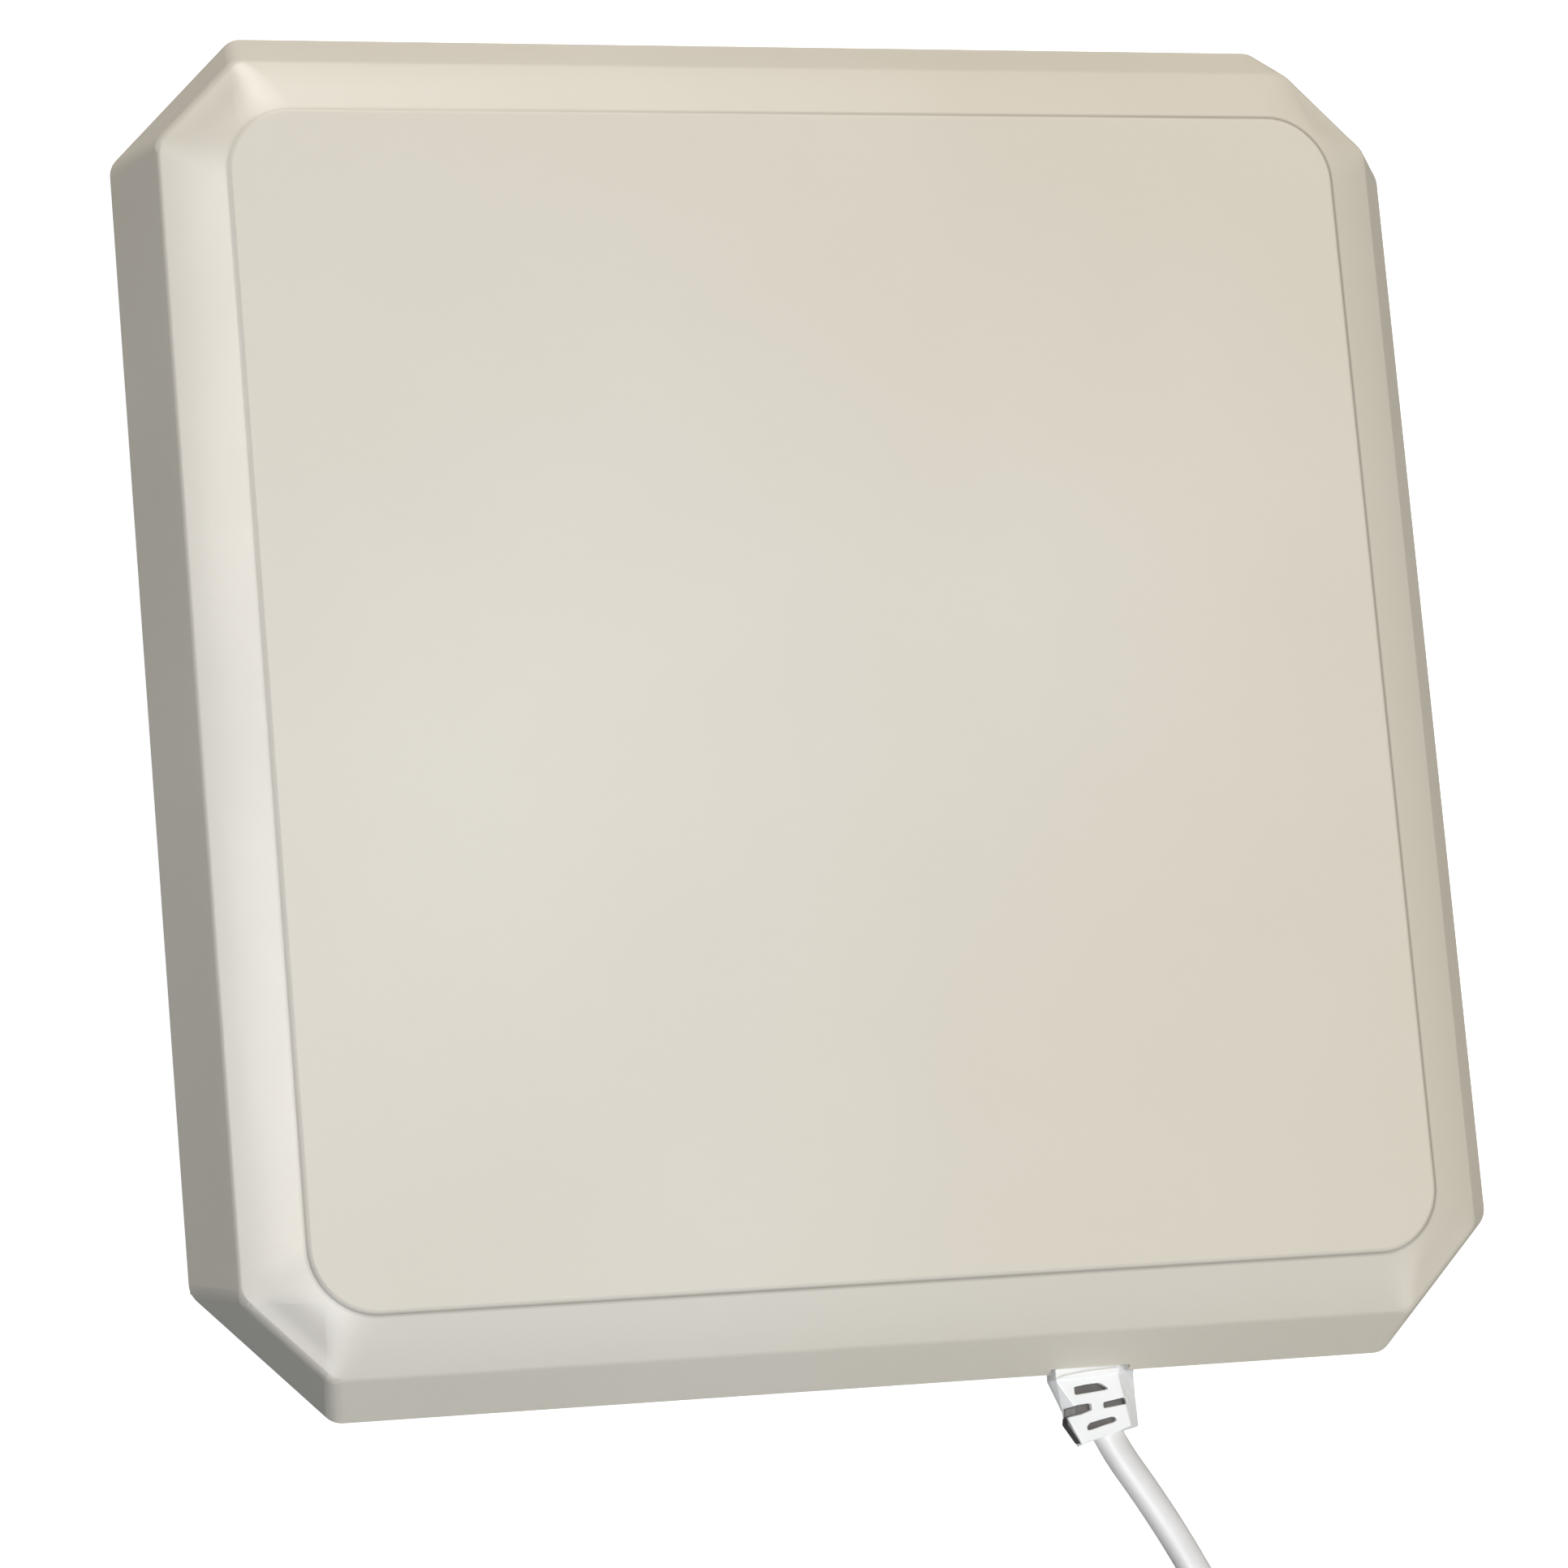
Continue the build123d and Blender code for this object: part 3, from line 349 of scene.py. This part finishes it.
# ---------------------------------------------------------------- coil tie
TIE_W, TIE_T = 5.0, 0.9
TIE_LOW, TIE_HIGH = (-10.4, 0.45), (14.4, 13.25)  # centre line of the strap, as (x, z)
TIE_CORNER, TIE_CORNER_STEPS = 3.6, 6
TIE_BEVEL, TIE_VOXEL, TIE_ROUNDS = 0.18, 0.13, 2
LOCK_X, LOCK = -3.95, (3.0, 4.0, 3.2)  # the lock's middle, and its half length, half width and height
LOCK_FOOT, LOCK_SHOULDER = 0.6, 0.7  # its foot's depth in the strap, and the height share of its shoulder
LOCK_INSETS = (0.3, 0.0, 0.05, 0.5)  # how far it draws in at its foot, on the strap, at its shoulder and top
MOUTH_REACH, MOUTH_HALF_W, MOUTH_LOW, MOUTH_HIGH = 4.0, 2.4, 0.55, 1.85  # the slot for the tail
TAIL_LINE = [(-8.2, 14.75), (-4.0, 14.8), (0.5, 14.95), (4.5, 15.5), (8.0, 16.5), (11.0, 17.9)]
TAIL_W, TAIL_T, TEETH, TOOTH_DEPTH = 4.2, 0.8, 26, 0.3
TOOTHED_CORNERS = {3: 0, 4: 7}  # the upper corners of a ring of the tail, and the corner under each


def tie_loop():
    """The strap's centre line round the coil, a rectangle with round corners."""
    (x0, z0), (x1, z1) = TIE_LOW, TIE_HIGH
    left, right, low, high = x0 + TIE_CORNER, x1 - TIE_CORNER, z0 + TIE_CORNER, z1 - TIE_CORNER
    line = []
    for x, z, start in (right, high, 0), (left, high, 90), (left, low, 180), (right, low, 270):
        for i in range(TIE_CORNER_STEPS + 1):
            turn = math.radians(start + 90 * i / TIE_CORNER_STEPS)
            line.append((x + TIE_CORNER * math.cos(turn), z + TIE_CORNER * math.sin(turn)))
    return line


def strap_rings(line, width, thick, looped):
    """Rings of a flat strap along an (x, z) line, with its edges taken off."""
    rings = []
    count = len(line)
    side, face, bevel = width / 2, thick / 2, TIE_BEVEL
    profile = [(side - bevel, face), (side, face - bevel), (side, bevel - face), (side - bevel, -face),
               (bevel - side, -face), (-side, bevel - face), (-side, face - bevel), (bevel - side, face)]
    for i in range(count):
        if looped:
            before, after = line[i - 1], line[(i + 1) % count]
        else:
            before, after = line[max(0, i - 1)], line[min(count - 1, i + 1)]
        along = Vector((after[0] - before[0], 0, after[1] - before[1])).normalized()
        out = Vector((along.z, 0, -along.x))
        centre = Vector((line[i][0], COIL_Y, line[i][1]))
        rings.append([mm(centre + Vector((0, across, 0)) + out * height) for across, height in profile])
    return rings


def tie_tail():
    """The tail's points along its line, two to each tooth, as (x, z)."""
    points = []
    steps = TEETH * 2
    for i in range(steps + 1):
        at = i / steps * (len(TAIL_LINE) - 1)
        run = min(len(TAIL_LINE) - 2, int(at))
        ends = zip(TAIL_LINE[run], TAIL_LINE[run + 1])
        points.append(tuple(start + (end - start) * (at - run) for start, end in ends))
    return points


def add_tie():
    """A nylon ladder tie: the strap round the coil, its lock, and the toothed tail drawn through it."""
    x, top = LOCK_X, TIE_HIGH[1] + TIE_T / 2
    length, width, height = LOCK
    levels = (top - LOCK_FOOT, top, top + height * LOCK_SHOULDER, top + height)
    corners = ((-1, -1), (1, -1), (1, 1), (-1, 1))
    lock = [[mm((x + end * (length - inset), COIL_Y + side * (width - inset), z)) for end, side in corners]
            for z, inset in zip(levels, LOCK_INSETS)]
    mouth = [(x + end * MOUTH_REACH, COIL_Y + side * MOUTH_HALF_W) for end, side in corners]
    head = cut_away(solid_mesh("lock", [(lock, False)]), [upright(mouth, top + MOUTH_LOW, top + MOUTH_HIGH)])
    tail = strap_rings(tie_tail(), TAIL_W, TAIL_T, False)
    for ring in tail[1::2]:
        for upper, under in TOOTHED_CORNERS.items():
            ring[upper] = ring[upper].lerp(ring[under], TOOTH_DEPTH)
    form = bmesh.new()
    form.from_mesh(head)
    strap = strap_rings(tie_loop(), TIE_W, TIE_T, True)
    form.from_mesh(solid_mesh("straps", [(strap, True), (tail, False)]))
    mesh = bpy.data.meshes.new("tie")
    form.to_mesh(mesh)
    form.free()
    tie = moulded("coil_tie_strap", mesh, TIE_VOXEL, TIE_ROUNDS)
    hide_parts("coil_tie")
    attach(tie, PANEL_BODY)
    dress(tie, "tie_nylon")
    return tie


# ---------------------------------------------------------------- stage
FLOOR_SIZE, FLOOR_DROP = 6.0, 0.2 * MM  # metres
FLOOR_GREY, FLOOR_GLOW, FLOOR_ROUGHNESS, FLOOR_SHINE = 0.6, 0.9, 0.9, 0.1


def add_floor():
    """A wide pale floor just under the object, which glows so that the object's shade hardly shows on it."""
    bpy.ops.mesh.primitive_plane_add(size=FLOOR_SIZE, location=(0, 0, -FLOOR_DROP))
    floor = bpy.context.object
    floor.name = "floor"
    material = bpy.data.materials.new("floor_white")
    material.use_nodes = True
    shader = material.node_tree.nodes["Principled BSDF"]
    shader.inputs["Base Color"].default_value = (FLOOR_GREY, FLOOR_GREY, FLOOR_GREY, 1)
    shader.inputs["Roughness"].default_value = FLOOR_ROUGHNESS
    shader.inputs["Specular IOR Level"].default_value = FLOOR_SHINE
    shader.inputs["Emission Color"].default_value = (1, 1, 1, 1)
    shader.inputs["Emission Strength"].default_value = FLOOR_GLOW
    floor.data.materials.append(material)
    floor.visible_diffuse = floor.visible_glossy = False  # its bounce would wash out the walls


# name, azimuth from +X towards +Y and height above the floor in degrees, size in metres, power in watts,
# colour, and whether it lights surfaces as well as showing in their gloss
LIGHTS = [
    ("low_top", 90, 18, 0.8, 24.0, (1.0, 0.98, 0.94), True),
    ("low_top_left", 135, 18, 0.8, 7.0, (0.97, 0.985, 1.0), True),
    ("low_right", 315, 18, 0.8, 9.5, (0.99, 0.98, 0.96), True),
    ("front", 270, 42, 1.8, 20.5, (0.92, 0.99, 1.07), True),
    ("high_right", 0, 66, 0.9, 11.0, (1.0, 0.985, 0.96), True),
    ("high_top", 60, 66, 0.9, 9.5, (1.0, 0.985, 0.96), True),
    ("gloss_left_top", 160, 44, 1.3, 26.0, (1.0, 1.0, 1.0), False),
    ("gloss_left", 182, 46, 1.3, 18.0, (1.0, 1.0, 1.0), False),
    ("gloss_corner", 235, 48, 1.5, 60.0, (1.0, 1.0, 1.0), False),
]
LEAD_LIGHT = ("lead_fill", 215, 12, 1.4, 16.0, (1.0, 1.0, 1.0), True)
LIGHT_DISTANCE = 2.0  # metres
REFLECTED_STUDIO = 0.15  # the world's strength in reflections


def add_light(name, azimuth, height, size, power, colour, diffuse):
    """A large soft area light, aimed at the panel."""
    turn, rise = math.radians(azimuth), math.radians(height)
    way = Vector((math.cos(turn) * math.cos(rise), math.sin(turn) * math.cos(rise), math.sin(rise)))
    data = bpy.data.lights.new(name, "AREA")
    data.shape, data.size = "DISK", size
    data.energy, data.color = power, colour
    light = bpy.data.objects.new(name, data)
    light.location = way * LIGHT_DISTANCE
    light.rotation_mode = "QUATERNION"
    light.rotation_quaternion = way.to_track_quat("Z", "Y")
    light.visible_diffuse = diffuse
    bpy.context.scene.collection.objects.link(light)
    return light


def add_lights(lead_pieces):
    """The studio lights, with a low one that falls on the lead's pieces alone."""
    for settings in LIGHTS:
        add_light(*settings)
    lit = bpy.data.collections.new("lit_by_lead_fill")
    for piece in lead_pieces:
        lit.objects.link(piece)
    add_light(*LEAD_LIGHT).light_linking.receiver_collection = lit
    world = bpy.data.worlds.new("studio")
    world.use_nodes = True
    tree = world.node_tree
    rays = tree.nodes.new("ShaderNodeLightPath").outputs
    strength = tree.nodes.new("ShaderNodeMath")  # white behind the floor, grey in reflections, no fill light
    strength.operation = "MULTIPLY_ADD"
    tree.links.new(rays["Is Glossy Ray"], strength.inputs[0])
    strength.inputs[1].default_value = REFLECTED_STUDIO
    tree.links.new(rays["Is Camera Ray"], strength.inputs[2])
    background = tree.nodes["Background"]
    background.inputs["Color"].default_value = (1, 1, 1, 1)
    tree.links.new(strength.outputs[0], background.inputs["Strength"])
    bpy.context.scene.world = world
    bpy.context.scene.view_settings.view_transform = "Standard"


# ---------------------------------------------------------------- materials
MIX_VALUES, MIX_COLOURS, MIXED_COLOUR = (2, 3), (6, 7), 2  # a Mix node's sockets, whose names repeat


class Surface:
    """A procedural material: a Principled shader and the nodes that feed it."""

    def __init__(self, name, **sockets):
        self.material = bpy.data.materials.new(name)
        self.material.use_nodes = True
        self.tree = self.material.node_tree
        self.shader = self.tree.nodes["Principled BSDF"]
        for socket, value in sockets.items():
            self.shader.inputs[socket.replace("_", " ")].default_value = value
        self.place = self.node("ShaderNodeTexCoord").outputs["Object"]

    def node(self, kind, links=(), **settings):
        """A node with these settings, whose input sockets take a link or a value."""
        made = self.tree.nodes.new(kind)
        for setting, value in settings.items():
            setattr(made, setting, value)
        for socket, source in dict(links).items():
            if isinstance(source, bpy.types.NodeSocket):
                self.tree.links.new(source, made.inputs[socket])
            else:
                made.inputs[socket].default_value = source
        return made

    def feed(self, socket, source):
        """Links source to a socket of the shader."""
        self.tree.links.new(source, self.shader.inputs[socket])

    def noise(self, size, detail=2.0, stretch=(1, 1, 1)):
        """Soft noise from 0 to 1 whose blots are about size millimetres across."""
        vector = self.node("ShaderNodeMapping", {"Vector": self.place, "Scale": stretch}).outputs[0]
        links = {"Vector": vector, "Scale": 1000 / size, "Detail": detail}
        return self.node("ShaderNodeTexNoise", links).outputs["Fac"]

    def span(self, source, low, high, start=0.3, end=0.7):
        """source, from start to end, brought to the range low to high."""
        links = {"Value": source, "From Min": start, "From Max": end, "To Min": low, "To Max": high}
        return self.node("ShaderNodeMapRange", links).outputs["Result"]

    def away_from(self, point, reach):
        """0 at a point of the object and 1 at reach from it, both in millimetres."""
        links = {0: self.place, 1: mm(point)}
        distance = self.node("ShaderNodeVectorMath", links, operation="DISTANCE").outputs["Value"]
        return self.span(distance, 0, 1, 0, reach * MM)

    def height(self):
        """The height above the floor, in metres."""
        return self.node("ShaderNodeSeparateXYZ", {0: self.place}).outputs["Z"]

    def at_height(self, height, reach, most):
        """most at a height above the floor and 0 at reach from it, both in millimetres."""
        links = {0: self.height(), 1: height * MM}
        above = self.node("ShaderNodeMath", links, operation="SUBTRACT").outputs[0]
        gap = self.node("ShaderNodeMath", {0: above}, operation="ABSOLUTE").outputs[0]
        return self.span(gap, most, 0, 0, reach * MM)

    def mixed(self, a, b, share):
        """Two values from 0 to 1 brought together, with this share of b."""
        first, second = MIX_VALUES
        return self.node("ShaderNodeMix", {0: share, first: a, second: b}, data_type="FLOAT").outputs[0]

    def blend(self, factor, a, b):
        """Colour a where factor is 0 and colour b where it is 1."""
        first, second = MIX_COLOURS
        links = {"Factor": factor, first: a, second: b}
        return self.node("ShaderNodeMix", links, data_type="RGBA").outputs[MIXED_COLOUR]

    def blotted(self, size, detail, colour, other):
        """Colours the surface with soft blots of one colour on another."""
        blots = self.span(self.noise(size, detail), 0, 1)
        self.feed("Base Color", self.blend(blots, opaque(colour), opaque(other)))

    def glossed(self, size, detail, low, high, stretch=(1, 1, 1)):
        """Varies the roughness from low to high in soft blots."""
        self.feed("Roughness", self.span(self.noise(size, detail, stretch), low, high))

    def bump(self, *layers):
        """Adds height layers to the normal, each (source, depth in millimetres)."""
        normal = None
        for source, depth in layers:
            links = {"Height": source, "Strength": 1.0, "Distance": depth * MM}
            if normal is not None:
                links["Normal"] = normal
            normal = self.node("ShaderNodeBump", links).outputs["Normal"]
        self.feed("Normal", normal)


def opaque(colour):
    """A colour with an alpha of 1."""
    return (*colour, 1)


def times(colour, amount):
    """A colour made lighter or darker."""
    return tuple(part * amount for part in colour)


GLOSS_SWING = 0.04
WAVE_SIZE, WAVE_DEPTH = 40, 4  # the slow waves of a moulded wall, in grains and in grain depths


def moulded_plastic(name, colour, other, blot, rough, grain, grain_depth):
    """Moulded plastic: slow colour drift, a fine spark-eroded grain, and a gloss that varies a little."""
    look = Surface(name, IOR=1.5)
    look.blotted(blot, 3, colour, other)
    look.glossed(blot / 3, 4, rough - GLOSS_SWING, rough + GLOSS_SWING)
    waves = look.noise(grain * WAVE_SIZE, 2)
    look.bump((look.noise(grain, 3), grain_depth), (waves, grain_depth * WAVE_DEPTH))
    return look.material


# the cover's own clean and aged tones, and the painted shade for the crease at the foot of the step
CLEAN, AGED, STEP_SHADE = (0.69, 0.655, 0.59), (0.595, 0.54, 0.445), (0.25, 0.22, 0.18)
PALE_POINT, PALE_REACH = (-75, -12, 28), 205  # least aged here, and most from this far on
STEP_Z, STEP_SHADE_REACH, MOST_STEP_SHADE = 27.4, 0.38, 0.8  # painted shade lies at the foot of the step round the raised face
UNSHADED_POINT, UNSHADED_REACH = (-111, 70, 28), 200  # no painted shade here, and the most from this far on
SATIN, GRAINED = (0.37, 0.47), (0.62, 0.70)  # roughness below and above the two heights
GRAIN_LOW_Z, GRAIN_HIGH_Z = 27.5, 27.9
BLOT_SHARE, SMEAR_SHARE = 0.28, 0.35


def cover_plastic():
    """Satin ABS, yellower away from its middle left, with a grained face and painted shade along its step.
    """
    look = Surface("cover_plastic", IOR=1.5)
    blots = look.span(look.noise(110, 3), 0, 1)
    aged = look.mixed(look.away_from(PALE_POINT, PALE_REACH), blots, BLOT_SHARE)
    base_tone = look.blend(aged, opaque(CLEAN), opaque(AGED))
    # painted shade: a dark line along the foot of the step, faded out towards the upper left
    line = look.at_height(STEP_Z, STEP_SHADE_REACH, MOST_STEP_SHADE)
    painted_step_shade = look.mixed(0.0, line, look.away_from(UNSHADED_POINT, UNSHADED_REACH))
    look.feed("Base Color", look.blend(painted_step_shade, base_tone, opaque(STEP_SHADE)))
    handled = look.mixed(look.noise(45, 4), look.noise(3, 3), SMEAR_SHARE)
    satin, grained = look.span(handled, *SATIN), look.span(handled, *GRAINED)
    raised = look.span(look.height(), 0, 1, GRAIN_LOW_Z * MM, GRAIN_HIGH_Z * MM)
    look.feed("Roughness", look.mixed(satin, grained, raised))
    look.bump((look.noise(0.7, 3), 0.004), (look.noise(28, 2), 0.016))
    return look.material


def tray_plastic():
    """The tray's coarser grained plastic, a little greyer than the cover's."""
    return moulded_plastic("tray_plastic", (0.60, 0.57, 0.52), (0.58, 0.56, 0.53), 90, 0.5, 0.9, 0.01)


def relief_plastic():
    """White, nearly smooth plastic."""
    return moulded_plastic("relief_plastic", (0.85, 0.845, 0.83), (0.82, 0.82, 0.81), 12, 0.38, 0.5, 0.003)


def lead_jacket():
    """Satin extruded jacket with faint unevenness and handling marks."""
    look = Surface("lead_jacket", IOR=1.45)
    look.blotted(9, 4, (0.735, 0.715, 0.70), (0.69, 0.674, 0.66))
    look.glossed(4, 3, 0.4, 0.5)
    look.bump((look.noise(1.4, 3), 0.012))
    return look.material


def natural_nylon(name):
    """Uncoloured nylon, slightly yellow and faintly uneven."""
    look = Surface(name, IOR=1.53, Roughness=0.42)
    look.blotted(6, 3, (0.66, 0.65, 0.60), (0.60, 0.59, 0.53))
    look.bump((look.noise(0.8, 2), 0.006))
    return look.material


DUST = 1.7  # how many times lighter the dusty patches are


def dark_polymer(name, colour, rough):
    """Rubber or dark plastic with dusty patches and a fine texture."""
    look = Surface(name, IOR=1.5)
    look.blotted(5, 4, colour, times(colour, DUST))
    look.glossed(3, 3, rough - 2 * GLOSS_SWING, rough + 2 * GLOSS_SWING)
    look.bump((look.noise(0.6, 3), 0.01), (look.noise(6, 2), 0.05))
    return look.material


TARNISH, POLISH, WEAR = 0.86, 0.07, 0.09  # the darkest plating, and how far the gloss swings each way


def plated_metal(name, colour, rough, scratch, stretch=(1, 1, 1)):
    """Metal with fine directional scratches and slightly uneven plating."""
    look = Surface(name, Metallic=1.0)
    look.blotted(8, 4, colour, times(colour, TARNISH))
    look.glossed(scratch, 4, rough - POLISH, rough + WEAR, stretch)
    look.bump((look.noise(scratch, 3, stretch), 0.004))
    return look.material


WEAVE_SCALE, WEAVE_BEND = 900.0, 0.4


def board_laminate():
    """Green solder mask over woven glass, which shows as a faint square texture."""
    look = Surface("board_laminate", IOR=1.55, Coat_Weight=0.4, Coat_Roughness=0.15, Roughness=0.35)
    links = {"Vector": look.place, "Scale": WEAVE_SCALE, "Distortion": WEAVE_BEND}
    weft = look.node("ShaderNodeTexWave", links, bands_direction="X").outputs["Fac"]
    warp = look.node("ShaderNodeTexWave", links, bands_direction="Y").outputs["Fac"]
    weave = look.node("ShaderNodeMath", {0: weft, 1: warp}, operation="MULTIPLY").outputs[0]
    look.feed("Base Color", look.blend(weave, opaque((0.016, 0.10, 0.035)), opaque((0.03, 0.15, 0.055))))
    look.bump((weave, 0.01))
    return look.material


def label_film():
    """Blank matt silver film with a fine satin grain."""
    look = Surface("label_film", Metallic=0.35)
    look.blotted(20, 3, (0.62, 0.63, 0.64), (0.56, 0.57, 0.58))
    look.glossed(0.6, 3, 0.38, 0.5, (1, 12, 1))
    look.bump((look.noise(0.3, 2), 0.003))
    return look.material


MATERIALS = {
    "cover_plastic": cover_plastic(),
    "tray_plastic": tray_plastic(),
    "relief_plastic": relief_plastic(),
    "lead_jacket": lead_jacket(),
    "seal_rubber": dark_polymer("seal_rubber", (0.02, 0.02, 0.021), 0.62),
    # painted shade: the core's dark colour darkens the relief's slots and notches; at the side it is a dark
    # inner body
    "relief_core_and_shade": dark_polymer("relief_core_and_shade", (0.075, 0.068, 0.064), 0.5),
    "sleeve_black": dark_polymer("sleeve_black", (0.012, 0.012, 0.013), 0.42),
    "tie_nylon": natural_nylon("tie_nylon"),
    "screw_steel": plated_metal("screw_steel", (0.58, 0.58, 0.59), 0.3, 0.6),
    "insert_brass": plated_metal("insert_brass", (0.72, 0.52, 0.22), 0.28, 0.4, (1, 1, 8)),
    "plate_aluminium": plated_metal("plate_aluminium", (0.74, 0.75, 0.77), 0.34, 2.0, (1, 14, 1)),
    "spacer_nylon": natural_nylon("spacer_nylon"),
    "board_laminate": board_laminate(),
    "track_copper": plated_metal("track_copper", (0.78, 0.42, 0.25), 0.3, 0.8),
    "solder": plated_metal("solder", (0.66, 0.66, 0.67), 0.22, 1.2),
    "ceramic_white": moulded_plastic("ceramic_white", (0.8, 0.8, 0.78), (0.74, 0.74, 0.72),
                                     3, 0.5, 0.2, 0.004),
    "dielectric": natural_nylon("dielectric"),
    "label_film": label_film(),
    "plug_nickel": plated_metal("plug_nickel", (0.56, 0.54, 0.5), 0.36, 0.5, (8, 1, 1)),
    "pin_gold": plated_metal("pin_gold", (0.9, 0.64, 0.25), 0.18, 0.4, (8, 1, 1)),
}
NODE_SLOTS = {
    "cover_plastic": ["front_cover"],
    "tray_plastic": ["rear_tray", "cable_clamp"],
    "relief_plastic": ["strain_relief"],
    "lead_jacket": ["lead", "lead_coil", "lead_end", "feed_cable"],
    "seal_rubber": ["cover_seal", "connector_seal"],
    "sleeve_black": ["lead_sleeve"],
    "tie_nylon": ["coil_tie"],
    "screw_steel": ["cover_screws", "ground_plate_screws", "patch_screws", "patch_nuts", "board_screws",
                    "clamp_screws", "retaining_ring"],
    "insert_brass": ["mounting_inserts"],
    "plate_aluminium": ["ground_plate", "patch_element", "centre_post"],
    "spacer_nylon": ["patch_standoffs", "probe_bushes"],
    "board_laminate": ["feed_board"],
    "track_copper": ["feed_tracks", "feed_probes", "cable_conductor"],
    "solder": ["solder_joints"],
    "ceramic_white": ["load_resistor"],
    "dielectric": ["cable_core", "connector_insulator"],
    "label_film": ["rating_label"],
    "plug_nickel": ["connector_body", "coupling_nut", "crimp_ferrule"],
    "pin_gold": ["centre_pin"],
}


def dress(piece, slot):
    """Gives a piece the material of a slot."""
    piece.data.materials.clear()
    piece.data.materials.append(MATERIALS[slot])


def dress_nodes():
    """Gives every CAD node the material of its slot."""
    for slot, nodes in NODE_SLOTS.items():
        for node in nodes:
            dress(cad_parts[node], slot)


# ---------------------------------------------------------------- the scene
add_camera()
signal_lead, lead_line = add_lead()
dress(signal_lead, "lead_jacket")
relief_shell, relief_core_and_shade = add_relief()
tie_strap = add_tie()
dress_nodes()
add_floor()
add_lights([signal_lead, relief_shell])
